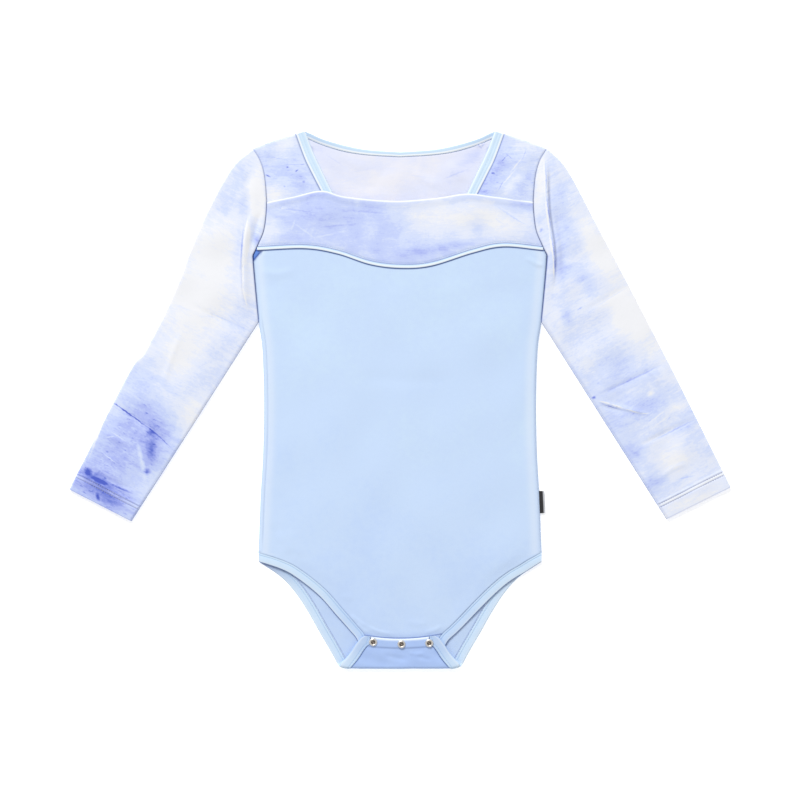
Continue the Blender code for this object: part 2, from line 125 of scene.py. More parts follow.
# Back yoke
# The upper back is one panel of fine cotton jersey, tie-dyed, and laid right side down. Its paler
# wrong side shows in the neck opening. Overlocked seams join it to the back body and the sleeves.
CLOTH = 0.0012
SEAM_GAP = 0.0003
YOKE_SEAM_Y = 0.1350
SHOULDER_POINT = (0.1387, 0.2380)
ARMPIT = (0.1392, 0.1368)
ARMHOLE = (  # half width, y
    SHOULDER_POINT, (0.1325, 0.2275), (0.1284, 0.2138), (0.1265, 0.1938), (0.1266, 0.1786),
    (0.1290, 0.1606), (0.1345, 0.1473), ARMPIT,
)
NECK_BACK_SEAM = (  # half width, y
    (0.0000, 0.2308), (0.0300, 0.2325), (0.0525, 0.2358), (0.0729, 0.2418), (0.0880, 0.2482),
    (0.0980, 0.2518),
)
EDGE_STEPS = (0.0, 0.0004, 0.0010, 0.0018, 0.0028)
YOKE_HEIGHT = 0.1100
YOKE_PITCH = 0.0026
YOKE_SWELL = 0.00035
YOKE_GROUND = 0.24
NECK_CORNER = (0.0835, 0.2385)
NECK_CORNER_REACH = 0.0016
YOKE_CREASES = (  # height, breadth to the left, breadth to the right, points from end to end
    (0.0009, 0.0030, 0.0012, ((0.0690, 0.2440), (0.0760, 0.2415), (0.0800, 0.2440))),
    (-0.0006, 0.0030, 0.0030, ((-0.0600, 0.2300), (-0.0450, 0.2150), (-0.0380, 0.2000))),
    (0.0006, 0.0040, 0.0030, ((0.0100, 0.2200), (0.0250, 0.2080), (0.0420, 0.2030))),
    (-0.0005, 0.0030, 0.0030, ((-0.0100, 0.2230), (-0.0230, 0.2100), (-0.0300, 0.1980))),
    (0.0005, 0.0030, 0.0040, ((0.0450, 0.2280), (0.0550, 0.2150), (0.0600, 0.2050))),
)
YOKE_DYE = (  # x, y, half length, half width, turn in degrees, strength
    (-0.0700, 0.2300, 0.0220, 0.0070, -55, 0.26),
    (-0.0350, 0.2240, 0.0300, 0.0060, -15, 0.16),
    (-0.0150, 0.2050, 0.0300, 0.0080, 10, -0.12),
    (0.0550, 0.2180, 0.0300, 0.0120, 35, 0.24),
    (0.0700, 0.2330, 0.0160, 0.0080, 40, 0.26),
    (0.0050, 0.2200, 0.0200, 0.0080, 0, -0.08),
    (0.0250, 0.2000, 0.0250, 0.0060, 5, 0.10),
)
# Painted shade: these strokes darken the yoke along its wrinkles and its small tuck.
YOKE_SHADE_LINES = (  # thin strokes: x, y, half length, half width, turn in degrees, strength
    (0.0752, 0.2412, 0.0042, 0.0008, -48, 0.70),
    (0.0790, 0.2420, 0.0036, 0.0007, 52, 0.55),
    (-0.0590, 0.2255, 0.0150, 0.0011, -35, 0.22),
    (-0.0300, 0.2195, 0.0200, 0.0012, 12, 0.20),
    (0.0200, 0.2120, 0.0220, 0.0011, -8, 0.20),
    (0.0520, 0.2140, 0.0180, 0.0012, 22, 0.24),
    (-0.0480, 0.2090, 0.0140, 0.0010, 20, 0.16),
)


def ease(t):
    """A smooth step from 0 to 1."""
    t = np.clip(t, 0, 1)
    return t * t * (3 - 2 * t)


def bell(distance, breadth):
    """A soft bump of height 1 over a distance of 0."""
    return np.exp(-((distance / breadth) ** 2))


def faded(share):
    """1 along a line's middle part, easing to 0 towards both of its ends."""
    return ease(share / 0.3) * ease((1 - share) / 0.3)


def stacked(*parts):
    """The parts as coordinates of points."""
    return np.stack(np.broadcast_arrays(*parts), axis=-1)


def smooth_line(points, steps=20):
    """A smooth curve through a few points, as closely spaced points."""
    p = np.array(points, float)
    ends = np.vstack([2 * p[0] - p[1], p, 2 * p[-1] - p[-2]])
    t = (np.arange(steps) / steps)[:, None]
    pieces = [
        a
        + 0.5 * t * (b - before)
        + t**2 * (before - 2.5 * a + 2 * b - 0.5 * after)
        + t**3 * (1.5 * (a - b) + 0.5 * (after - before))
        for before, a, b, after in zip(ends, ends[1:], ends[2:], ends[3:])
    ]
    return np.vstack([*pieces, p[-1:]])


def lengths(line):
    """How far along a line each of its points is."""
    return np.concatenate([[0], np.cumsum(np.linalg.norm(np.diff(line, axis=0), axis=1))])


def along(line, shares):
    """The points at shares of a line's length."""
    run = lengths(line)
    places = np.asarray(shares) * run[-1]
    return np.stack([np.interp(places, run, line[:, k]) for k in range(line.shape[1])], axis=-1)


def x_at(line, y):
    """The half width of an outline that runs steadily downwards, at a height."""
    return np.interp(-np.asarray(y), -line[:, 1], line[:, 0])


def y_at(line, x):
    """The height of an outline that runs steadily to the right, at a place across."""
    return np.interp(x, line[:, 0], line[:, 1])


def spread(length, pitch, edge_steps=EDGE_STEPS):
    """Shares across a panel: evenly spaced, and closer together towards both edges."""
    steps = np.array(edge_steps)
    inner = np.linspace(steps[-1], length - steps[-1], max(int(length / pitch), 2))
    return np.concatenate([steps[:-1], inner, (length - steps[:-1])[::-1]]) / length


def off_line(x, y, line):
    """How far places lie off a line, positive to its left, and their share of the way along it."""
    px, py = np.ravel(x), np.ravel(y)
    best = np.full(px.shape, np.inf)
    side, share = np.ones(px.shape), np.zeros(px.shape)
    run = lengths(line)
    for (x0, y0), (x1, y1), before in zip(line, line[1:], run):
        dx, dy = x1 - x0, y1 - y0
        size = math.hypot(dx, dy)
        t = np.clip(((px - x0) * dx + (py - y0) * dy) / size**2, 0, 1)
        gx, gy = px - x0 - t * dx, py - y0 - t * dy
        gap = np.hypot(gx, gy)
        closer = gap < best
        best[closer] = gap[closer]
        side[closer] = np.where(dx * gy - dy * gx < 0, -1, 1)[closer]
        share[closer] = ((before + t * size) / run[-1])[closer]
    return (best * side).reshape(np.shape(x)), share.reshape(np.shape(x))


def creased(x, y, creases):
    """The height that soft ridges and troughs add. Each one fades out towards its ends."""
    total = np.zeros(np.shape(x))
    for height, left_breadth, right_breadth, points in creases:
        off, share = off_line(x, y, smooth_line(points, 8))
        breadth = np.where(off > 0, left_breadth, right_breadth)
        total += height * faded(share) * bell(off, breadth)
    return total


def swell(x, y, size, seed, waves=14):
    """A soft uneven swell of about -1 to 1, from waves in many directions."""
    rng = np.random.default_rng(seed)
    total = np.zeros(np.shape(x))
    for _ in range(waves):
        turn, start = rng.uniform(0, 2 * math.pi, 2)
        length = size * rng.uniform(0.7, 1.8)
        total += np.sin(2 * math.pi * (x * math.cos(turn) + y * math.sin(turn)) / length + start)
    return total / math.sqrt(waves)


def rolled(distance, reach, drop):
    """How far a cloth edge rolls down into its seam, at a distance from it."""
    t = np.clip(1 - distance / reach, 0, 1)
    return drop * (1 - np.sqrt(1 - t * t))


def thinned(distance):
    """How much thinner the wall of a cloth edge is, at a distance from it."""
    return 0.4 * rolled(distance, 0.0015, 0.0012)


def dyed(x, y, ground, strokes):
    """The strength of the dye from 0 to 1: an even ground and soft strokes laid over it. On the sleeves some
    strokes are painted shade and painted highlights beside the ridges.
    """
    total = ground + np.zeros(np.shape(x))
    for cx, cy, half_length, half_width, degrees, strength in strokes:
        c, s = math.cos(math.radians(degrees)), math.sin(math.radians(degrees))
        lengthways = ((x - cx) * c + (y - cy) * s) / half_length
        sideways = ((y - cy) * c - (x - cx) * s) / half_width
        total += strength * np.exp(-(lengthways**2) - sideways**2)
    return np.clip(total, 0, 1)


def add_mesh(name, points, faces, flat, marks, finishes, face_finish=None, sharp=50):
    """An object with its flat-cloth coordinates as UVs and its marks as vertex attributes."""
    mesh = bpy.data.meshes.new(name)
    mesh.from_pydata(points.tolist(), [], faces)
    bm = bmesh.new()
    bm.from_mesh(mesh)
    bmesh.ops.recalc_face_normals(bm, faces=bm.faces)
    bm.to_mesh(mesh)
    bm.free()
    for finish in finishes:
        mesh.materials.append(finish)
    if face_finish is not None:
        mesh.polygons.foreach_set("material_index", face_finish)
    corners = np.empty(len(mesh.loops), dtype=np.int32)
    mesh.loops.foreach_get("vertex_index", corners)
    layer = mesh.uv_layers.new(name="flat")
    layer.data.foreach_set("uv", flat[corners].astype(np.float32).ravel())
    for mark, values in marks.items():
        attribute = mesh.attributes.new(mark, "FLOAT", "POINT")
        attribute.data.foreach_set("value", np.ascontiguousarray(values, np.float32).ravel())
    mesh.shade_smooth()
    mesh.set_sharp_from_angle(angle=math.radians(sharp))
    return new_object(name, mesh)


def normals_of(points, ring):
    """The direction straight out of a grid of points, at each of them."""
    if ring:
        across = np.roll(points, -1, axis=1) - np.roll(points, 1, axis=1)
    else:
        across = np.gradient(points, axis=1)
    normal = np.cross(across, np.gradient(points, axis=0))
    return normal / np.maximum(np.linalg.norm(normal, axis=-1, keepdims=True), 1e-12)


def grid_faces(rows, columns, ring, start=0):
    """The faces between the points of a grid. A ring closes from its last column to its first."""
    index = np.arange(rows * columns).reshape(rows, columns) + start
    right = np.roll(index, -1, axis=1) if ring else index[:, 1:]
    left = index if ring else index[:, :-1]
    corners = [left[:-1], right[:-1], right[1:], left[1:]]
    return np.stack(corners, axis=-1).reshape(-1, 4).tolist()


def shell(name, face, wall, flat, marks, finishes, ring=False, inward=-1):
    """A closed wall of cloth behind a grid of points. The second finish is its hidden face's."""
    rows, columns = face.shape[:2]
    back = face + inward * normals_of(face, ring) * np.broadcast_to(wall, face.shape[:2])[..., None]
    count = rows * columns
    faces = grid_faces(rows, columns, ring) + grid_faces(rows, columns, ring, count)
    index = np.arange(count).reshape(rows, columns)
    borders = [index[0], index[-1]]
    if ring:
        borders = [np.append(border, border[0]) for border in borders]
    else:
        borders += [index[:, 0], index[:, -1]]
    sides = len(faces)
    for border in borders:
        faces += [(a, b, b + count, a + count) for a, b in zip(border.tolist(), border[1:].tolist())]
    finish_index = np.zeros(len(faces), dtype=np.int32)
    if len(finishes) > 1:
        finish_index[sides // 2 : sides] = 1
    points = np.concatenate([face.reshape(-1, 3), back.reshape(-1, 3)])
    flats = np.concatenate([flat.reshape(-1, 2)] * 2)
    both = {mark: np.tile(np.broadcast_to(v, (rows, columns)).ravel(), 2) for mark, v in marks.items()}
    return add_mesh(name, points, faces, flats, both, finishes, finish_index)


def add_node(tree, kind, values=None, **settings):
    """A node with its settings made and its inputs filled."""
    node = tree.nodes.new(kind)
    for setting, value in settings.items():
        setattr(node, setting, value)
    fill(tree, node, values or {})
    return node


def math_node(tree, operation, *values):
    """The output of a math node fed by sockets or numbers."""
    return add_node(tree, "ShaderNodeMath", dict(enumerate(values)), operation=operation).outputs[0]


def plus(tree, amount, value, factor):
    """The output of an amount with a value's multiple added."""
    return math_node(tree, "ADD", amount, math_node(tree, "MULTIPLY", value, factor))


def tone(red, green, blue):
    """A colour as it looks on a screen, 0 to 255, as the shader's linear one."""
    shares = [c / 255 for c in (red, green, blue)]
    return (*[c / 12.92 if c <= 0.04045 else ((c + 0.055) / 1.055) ** 2.4 for c in shares], 1)


def mixed(tree, share, first, second, blend="MIX"):
    """The output of a colour mix fed by sockets, numbers or colours."""
    values = {0: share, 6: first, 7: second}
    return add_node(tree, "ShaderNodeMix", values, data_type="RGBA", blend_type=blend).outputs[2]


def noise(tree, place, scale, detail, roughness, stretch=(1, 1, 1), distortion=0.0):
    """A noise value over a place socket, finer by scale and drawn out by stretch."""
    mapping = add_node(tree, "ShaderNodeMapping", {"Vector": place, "Scale": stretch})
    values = {"Vector": mapping.outputs[0], "Scale": scale, "Detail": detail}
    values.update({"Roughness": roughness, "Distortion": distortion})
    return add_node(tree, "ShaderNodeTexNoise", values).outputs["Fac"]


def off_middle(tree, value):
    """A noise value moved from about 0.5 to about 0."""
    return math_node(tree, "SUBTRACT", value, 0.5)


def ramp(tree, value, stops):
    """The output of a smooth colour ramp over a value."""
    node = add_node(tree, "ShaderNodeValToRGB", {"Fac": value})
    node.color_ramp.interpolation = "EASE"
    elements = node.color_ramp.elements
    while len(elements) < len(stops):
        elements.new(0.5)
    for element, (place, colour) in zip(elements, stops):
        element.position = place
        element.color = colour
    return node.outputs["Color"]


def attribute(tree, name):
    """The output of one of the cloth's marks."""
    return add_node(tree, "ShaderNodeAttribute", attribute_name=name).outputs["Fac"]


WALE = 0.00085
COURSE = 0.00062
KNIT_LEAN = 0.35
KNIT_RIBS = 0.30
KNIT_SHADE = 0.05
KNIT_DEPTH = 0.00006


def make_knit_group():
    """Jersey's columns of small V stitches as a height, and the shade between the columns."""
    group = bpy.data.node_groups.new("jersey_knit", "ShaderNodeTree")
    group.interface.new_socket("Flat", in_out="INPUT", socket_type="NodeSocketVector")
    for name in ("Height", "Shade"):
        group.interface.new_socket(name, in_out="OUTPUT", socket_type="NodeSocketFloat")
    calc = functools.partial(math_node, group)
    given = group.nodes.new("NodeGroupInput")
    parts = add_node(group, "ShaderNodeSeparateXYZ", {0: given.outputs["Flat"]})
    column = calc("DIVIDE", parts.outputs["X"], WALE)
    row = calc("DIVIDE", parts.outputs["Y"], COURSE)
    leant = plus(group, row, calc("PINGPONG", column, 0.5), 2 * KNIT_LEAN)
    loops = calc("COSINE", calc("MULTIPLY", leant, 2 * math.pi))
    ribs = calc("COSINE", calc("MULTIPLY", column, 2 * math.pi))
    height = plus(group, plus(group, 0.5, ribs, KNIT_RIBS), loops, 0.5 - KNIT_RIBS)
    shade = calc("MULTIPLY", calc("SUBTRACT", 1.0, height), KNIT_SHADE)
    add_node(group, "NodeGroupOutput", {"Height": height, "Shade": shade})
    return group


knit_group = make_knit_group()
PAINTED_SHADE_TINT = (0.095, 0.150, 0.400, 1)
PAINTED_HIGHLIGHT_WHITE = tone(250, 253, 255)
COTTON = {"Roughness": 0.85, "Specular IOR Level": 0.22, "Sheen Weight": 0.06, "Sheen Roughness": 0.45}


def jersey(name):
    """A jersey material with its knit in place. Returns it, its tree, its places and a colour finisher."""
    made, tree, shader = new_material(name, COTTON)
    flat = add_node(tree, "ShaderNodeUVMap", uv_map="flat").outputs["UV"]
    knit = add_node(tree, "ShaderNodeGroup", {}, node_tree=knit_group)
    fill(tree, knit, {"Flat": flat})
    place = tree.nodes.new("ShaderNodeTexCoord").outputs["Object"]

    def finish(colour, rumple=0.00006, rumple_size=260.0):
        """Paints shade between the knit's columns, paints highlights on rolled edges and raised strips, and
        paints shade at seams, folds, grooves and under overlaps; and gives the surface its fine rumple.
        """
        # Painted highlight: this mark lightens rolled edges, folded edges and raised strips towards
        # near-white.
        colour = mixed(tree, attribute(tree, "painted_highlight"), colour, PAINTED_HIGHLIGHT_WHITE)
        colour = mixed(tree, knit.outputs["Shade"], colour, (0, 0, 0, 1))
        # Painted shade: the seam mark darkens the colour towards dark navy in seams, creases, stitch grooves,
        # contact lines and under overlapping edges.
        shade_painted = mixed(tree, 1.0, colour, PAINTED_SHADE_TINT, "MULTIPLY")
        colour = mixed(tree, attribute(tree, "seam"), colour, shade_painted)
        coarse = {"Strength": 1.0, "Distance": rumple, "Height": noise(tree, place, rumple_size, 3.0, 0.55)}
        coarse = add_node(tree, "ShaderNodeBump", coarse).outputs["Normal"]
        fine = {"Strength": 0.6, "Distance": KNIT_DEPTH, "Height": knit.outputs["Height"], "Normal": coarse}
        fine = add_node(tree, "ShaderNodeBump", fine).outputs["Normal"]
        fill(tree, shader, {"Base Color": colour, "Normal": fine})

    return made, tree, place, flat, finish


def vector_sum(tree, first, second):
    """The output of two places added up."""
    return add_node(tree, "ShaderNodeVectorMath", {0: first, 1: second}, operation="ADD").outputs[0]


def stroked(tree, place, amount, rows):
    """Adds thin strokes to a dye amount, some of them painted shade or painted highlights along creases and
    ridges. Each one fades from its middle to its rim.
    """
    for x, y, half_length, half_width, degrees, strength in rows:
        values = {"Vector": place, "Location": (x, y, 0), "Scale": (half_length, half_width, 1)}
        values["Rotation"] = (0, 0, math.radians(degrees))
        mapping = add_node(tree, "ShaderNodeMapping", {}, vector_type="TEXTURE")
        fill(tree, mapping, values)
        lens = add_node(tree, "ShaderNodeTexGradient", {0: mapping.outputs[0]}, gradient_type="SPHERICAL")
        amount = plus(tree, amount, lens.outputs["Fac"], strength)
    return amount


CLOUDS = (34.0, 6.0, 0.66)  # scale, detail and roughness of the noises that break up the dye
STREAKS = (170.0, 5.0, 0.72)
GRAIN = (640.0, 3.0, 0.75)
FLECKS = (520.0, 2.0, 0.5)
DYE_SHARE = 0.80
FLECK_START = 0.60
GRAIN_SHARE = 0.6
STROKE_SHAKE = 0.0016
DYED_RUMPLE = 0.00011
DYED_RUMPLE_SIZE = 190.0


def dyed_jersey(name, stops, lines, cloud=0.62, streak=0.62, fleck=2.0, shift=0.0):
    """Tie-dyed jersey: the dye mark, broken up by clouds, streaks and flecks, picks a colour. The mark and
    the thin strokes also carry painted shade and painted highlights along folds.
    """
    made, tree, place, flat, finish = jersey(name)
    calc = functools.partial(math_node, tree)
    moved = vector_sum(tree, place, (shift, shift, 0.0))
    cloth = vector_sum(tree, flat, (shift, shift, 0.0))
    dye_and_shade = attribute(tree, "dye_and_shade")
    clouds = off_middle(tree, noise(tree, moved, *CLOUDS, distortion=0.7))
    streaks = off_middle(tree, noise(tree, cloth, *STREAKS, (0.22, 1, 1), 0.25))
    grain = off_middle(tree, noise(tree, cloth, *GRAIN, (0.45, 1, 1)))
    flecks = noise(tree, cloth, *FLECKS, (0.35, 1, 1))
    flecks = calc("MAXIMUM", calc("SUBTRACT", flecks, FLECK_START), 0.0)
    flecks = calc("MULTIPLY", calc("MULTIPLY", flecks, fleck), dye_and_shade)
    amount = plus(tree, plus(tree, dye_and_shade, clouds, cloud), streaks, streak)
    amount = calc("ADD", plus(tree, amount, grain, GRAIN_SHARE * streak), flecks)
    wander = add_node(tree, "ShaderNodeTexNoise", {"Vector": place, "Scale": 420.0}).outputs["Color"]
    shake = {"Vector": wander, "Location": (-STROKE_SHAKE / 2, -STROKE_SHAKE / 2, 0)}
    shake["Scale"] = (STROKE_SHAKE, STROKE_SHAKE, 0)
    shake = add_node(tree, "ShaderNodeMapping", shake).outputs[0]
    amount = stroked(tree, vector_sum(tree, place, shake), amount, lines)
    finish(ramp(tree, calc("MULTIPLY", amount, DYE_SHARE), stops), DYED_RUMPLE, DYED_RUMPLE_SIZE)
    return made


DYE_STOPS = (
    (0.06, tone(244, 245, 249)),
    (0.22, tone(232, 238, 254)),
    (0.37, tone(216, 227, 255)),
    (0.51, tone(200, 213, 254)),
    (0.64, tone(180, 192, 248)),
    (0.76, tone(150, 163, 236)),
    (0.88, tone(118, 134, 220)),
    (1.00, tone(84, 102, 204)),
)
WRONG_SIDE_STOPS = (
    (0.06, tone(240, 240, 249)),
    (0.32, tone(230, 234, 253)),
    (0.72, tone(202, 212, 252)),
)
dyed_back = dyed_jersey(
    "dyed_jersey_wrong_side", WRONG_SIDE_STOPS, YOKE_SHADE_LINES, streak=0.40, fleck=0.4, shift=0.37
)
dyed_under = dyed_jersey("dyed_jersey_back", DYE_STOPS, (), shift=0.71)


def settle(piece, slot, *nodes):
    """The piece lies with the garment and stands for its solids. The slot is not used."""
    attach(piece, "root")
    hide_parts(*nodes)


def edge_gap(shares, length):
    """The distance from each column or row to the nearer end of its row or column."""
    return np.minimum(shares, 1 - shares) * length


armhole = smooth_line(ARMHOLE)
neck_back = smooth_line(NECK_BACK_SEAM)
shoulder = np.array([NECK_BACK_SEAM[-1], SHOULDER_POINT])
u = spread(2 * SHOULDER_POINT[0], YOKE_PITCH) * 2 - 1
lift = spread(YOKE_HEIGHT, YOKE_PITCH)[:, None]
half_top = np.abs(u) * SHOULDER_POINT[0]
top_y = np.where(half_top < shoulder[0, 0], y_at(neck_back, half_top), y_at(shoulder, half_top))
x = u * x_at(armhole, YOKE_SEAM_Y + lift * (SHOULDER_POINT[1] - YOKE_SEAM_Y))
y = YOKE_SEAM_Y + lift * (top_y - YOKE_SEAM_Y)
side_gap = edge_gap((u + 1) / 2, 2 * SHOULDER_POINT[0]) + 0 * y
end_gap = edge_gap(lift, YOKE_HEIGHT) + 0 * y
near = np.minimum(side_gap, end_gap)
wall = CLOTH - rolled(near, 0.0015, 0.0006)
z = wall + YOKE_SWELL * (1 + swell(x, y, 0.035, 3)) * ease(near / 0.02) + creased(x, y, YOKE_CREASES)
z = np.maximum(z, wall)
# Painted shade: a dark spot by each neck corner, and a dark line along both of the yoke's ends, at its seams.
corner_shade = bell(np.hypot(np.abs(x) - NECK_CORNER[0], y - NECK_CORNER[1]), NECK_CORNER_REACH)
painted_shade = np.maximum(0.30 * bell(end_gap, 0.0007), 0.5 * corner_shade)
marks = {"dye_and_shade": dyed(x, y, YOKE_GROUND, YOKE_DYE), "seam": painted_shade}
back_yoke = shell(
    "yoke_cloth",
    stacked(x, y, z),
    np.minimum(z, wall),
    stacked(x, y),
    marks,
    [dyed_back, dyed_under],
)
settle(back_yoke, "dyed_jersey_wrong_side", "back_yoke")


# Back body
# One panel of pale blue cotton jersey from the yoke seam to the crotch. Past the crotch fold it
# comes up over the front as a flap, with a turned and stitched end that carries the snap caps.
LEG_CORNER = (0.1340, -0.1536)
SIDE = (  # half width, y
    ARMPIT, (0.1378, 0.1188), (0.1335, 0.0741), (0.1300, 0.0475), (0.1285, 0.0000),
    (0.1292, -0.0475), (0.1318, -0.0950), LEG_CORNER,
)
BACK_LEG = (  # half width, y along the flat cloth
    LEG_CORNER, (0.1135, -0.1676), (0.1000, -0.1820), (0.0880, -0.2000), (0.0770, -0.2195),
    (0.0668, -0.2370), (0.0603, -0.2490), (0.0572, -0.2560), (0.0553, -0.2625), (0.0466, -0.2727),
    (0.0418, -0.2796), (0.0372, -0.2855), (0.0330, -0.2885),
)
LEG_BINDING_WIDTH = 0.0090
FOLD_RADIUS = 0.0028
FOLD_Y = -0.2549 + FOLD_RADIUS
CORNER_START = 0.0490
CORNER_REACH = 0.0110
CORNER_RISE = 0.0036
FOLD_END_Y = FOLD_Y - math.pi * FOLD_RADIUS
FLAP_END_Y = BACK_LEG[-1][1]
BACK_MEAN_WIDTH = 0.1600
BACK_PITCH = 0.0022
FLAP_HEM = 0.0095
FLAP_HEM_RISE = 0.0006
GROOVE_DEPTH = 0.00045
FLAP_SAG = 0.0026
FLAP_SAG_HALF_WIDTH = 0.0310
FLAP_SAG_SHARE = 0.62
FLAP_CREASES = (  # height, breadth to the left, breadth to the right, points along the flat cloth
    (-0.0006, 0.0026, 0.0026, ((-0.0180, -0.2725), (-0.0050, -0.2690), (0.0100, -0.2665))),
    (-0.0005, 0.0022, 0.0022, ((0.0150, -0.2700), (0.0240, -0.2680), (0.0310, -0.2665))),
    (0.0004, 0.0018, 0.0018, ((0.0060, -0.2740), (0.0160, -0.2725), (0.0250, -0.2735))),
)
BODY_STOPS = (
    (0.05, tone(199, 221, 255)),
    (0.50, tone(205, 226, 255)),
    (0.95, tone(209, 231, 255)),
)
# Painted shade: where marked, the colour is multiplied towards a deeper blue. The flap, the strips beside it,
# the lower ends of the front leg strips and the armpit tuck are marked.
DEEP_SHADE_TINT = (0.0, 0.22, 0.79, 1)
FLAP_DEEP_SHADE = 0.24
FLAP_STRIP_DEEP_SHADE = 0.17
BLUE_DRIFT = (11.0, 4.0, 0.55)  # scale, detail, roughness
BLUE_MOTTLE = (150.0, 3.0, 0.6)


def inset(points, width, first):
    """The points moved sideways by a width, and the first one in its own direction."""
    p = np.array(points)
    onward = np.gradient(p, axis=0)
    across = stacked(onward[:, 1], -onward[:, 0])
    across /= np.linalg.norm(across, axis=1)[:, None]
    if across[len(p) // 2] @ np.array(first) < 0:
        across = -across
    across[0] = first
    return p + width * across


def fold_over(x, y, lift):
    """Flat on the table, then round the crotch fold, whose ends curve up, and back over the front."""
    fold_y = FOLD_Y + CORNER_RISE * np.clip((np.abs(x) - CORNER_START) / CORNER_REACH, 0, 1) ** 2
    past = fold_y - y
    turn = np.clip(past / FOLD_RADIUS, 0, math.pi)
    radius = FOLD_RADIUS + lift
    onward = np.where(past > 0, fold_y + np.maximum(past - math.pi * FOLD_RADIUS, 0), y)
    return stacked(x, onward - radius * np.sin(turn), FOLD_RADIUS - radius * np.cos(turn))


def body_jersey(name, stops):
    """Plain dyed jersey whose blue drifts a little at random, painted a little lighter from the hem to the
    chest as the light falls from the neck end, and deepened by painted shade where marked.
    """
    made, tree, place, _, finish = jersey(name)
    parts = add_node(tree, "ShaderNodeSeparateXYZ", {0: place})
    # Painted light: the colour is a little lighter towards the chest, the end where the light stands.
    share = plus(tree, 0.55, parts.outputs["Y"], 1.2)
    share = plus(tree, share, off_middle(tree, noise(tree, place, *BLUE_DRIFT)), 1.1)
    share = plus(tree, share, off_middle(tree, noise(tree, place, *BLUE_MOTTLE)), 0.5)
    colour = ramp(tree, share, stops)
    # Painted shade: the deep mark darkens the colour towards the deeper blue.
    deeper_shade = mixed(tree, 1.0, colour, DEEP_SHADE_TINT, "MULTIPLY")
    finish(mixed(tree, attribute(tree, "deep_shade"), colour, deeper_shade))
    return made


body_blue = body_jersey("body_jersey", BODY_STOPS)
side = smooth_line(SIDE)
back_free = smooth_line(BACK_LEG, 16)
back_seam = inset(back_free, LEG_BINDING_WIDTH, (0, 1))
back_seam[0, 0] = x_at(side, back_seam[0, 1])
seam_top = back_seam[0, 1]
fold_rows = np.concatenate(
    [
        np.linspace(seam_top, FOLD_Y, 60, endpoint=False),
        np.linspace(FOLD_Y, FOLD_END_Y, 13),
        np.linspace(FOLD_END_Y, FLAP_END_Y + EDGE_STEPS[-1], 28)[1:],
        FLAP_END_Y + np.array(EDGE_STEPS[-2::-1]),
    ]
)
rows = np.concatenate([np.linspace(YOKE_SEAM_Y, seam_top, 70, endpoint=False), fold_rows])[:, None]
half_width = np.where(rows > seam_top, x_at(side, rows), x_at(back_seam, rows))
u = spread(BACK_MEAN_WIDTH, BACK_PITCH) * 2 - 1
x = u * half_width
past_fold = ease((FOLD_END_Y - rows) / (FOLD_END_Y - FLAP_END_Y))
sag = FLAP_SAG * (FLAP_SAG_SHARE - (x / FLAP_SAG_HALF_WIDTH) ** 2)
y = rows + sag * past_fold
on_flap = ease((FOLD_Y - rows) / (math.pi * FOLD_RADIUS))
side_gap = half_width - np.abs(x)
end_gap = rows - FLAP_END_Y + 0 * x
hem = ease((FLAP_HEM - end_gap) / 0.0008 + 0.5) * on_flap
hem_line = bell(end_gap - FLAP_HEM, 0.0005)
lift = on_flap * (
    creased(x, y, FLAP_CREASES)
    + FLAP_HEM_RISE * hem
    + 0.00025 * swell(x, y, 0.016, 5)
    - GROOVE_DEPTH * hem_line
    - rolled(end_gap, 0.0016, 0.0010)
    - rolled(side_gap, 0.0010, 0.0005)
)
wall = CLOTH + FLAP_HEM_RISE * hem - thinned(np.minimum(side_gap, end_gap))
wall = np.where(on_flap > 0, wall, CLOTH + 0.0002 * (1 + swell(x, y, 0.03, 6)) * ease(side_gap / 0.01))
# Painted shade: a dark line along the sides, a line on the flap's stitch line, and a faint shade over the
# back below the top of the leg openings. Painted highlight on the flap's rolled end.
painted_shade = np.maximum(0.6 * bell(side_gap, 0.0007), 0.30 * hem_line * on_flap)
painted_shade = np.maximum(painted_shade, 0.04 * ease((seam_top - rows) / 0.01) * (1 - on_flap))
painted_highlight = 0.7 * bell(end_gap - 0.0008, 0.0008) * on_flap
back_body = shell(
    "back_cloth",
    fold_over(x, y, lift),
    wall,
    stacked(x, y),
    {"seam": painted_shade, "painted_highlight": painted_highlight, "deep_shade": FLAP_DEEP_SHADE * on_flap * (end_gap > 0.002)},
    [body_blue],
)
settle(back_body, "body_jersey", "back_body")


# Back leg bindings
# A strip of the same jersey is folded over the raw edge of each leg opening and held by two rows
# of stitches. On the back it goes round the crotch fold and up the side of the flap.
BINDING_WALL = 0.0018
BACK_BINDING_WALL = 0.0014
# In the strip profiles the seam shade column is painted shade, in the grooves and along the free edge, and
# the paleness column is a painted highlight on the raised parts.
BINDING_PROFILE = (  # share from the free edge to the seam, share of the wall, seam shade, paleness
    (0.000, 0.50, 1.00, 0.00),
    (0.022, 0.76, 0.95, 0.00),
    (0.060, 0.94, 0.25, 0.20),
    (0.110, 1.00, 0.00, 0.45),
    (0.250, 1.00, 0.00, 0.20),
    (0.640, 1.00, 0.00, 0.15),
    (0.690, 0.96, 0.03, 0.00),
    (0.730, 0.86, 0.13, 0.00),
    (0.770, 0.96, 0.03, 0.00),
    (0.820, 1.00, 0.00, 0.15),
    (0.900, 0.99, 0.00, 0.15),
    (0.940, 0.94, 0.04, 0.00),
    (0.975, 0.82, 0.12, 0.00),
    (1.000, 0.50, 0.40, 0.00),
)
BACK_EDGE_SHARE = 0.07
FLAP_STRIP_PROUD = 0.0003
FLAP_STRIP_SHADE = 0.09
BACK_BINDING_PROFILE = [(*row[:2], row[2] * (row[0] > BACK_EDGE_SHARE), row[3]) for row in BINDING_PROFILE]
LEG_STITCHES = (0.73, 0.965)
LEG_CORNER_SHADE = 0.75
LEG_CORNER_REACH = 0.0200
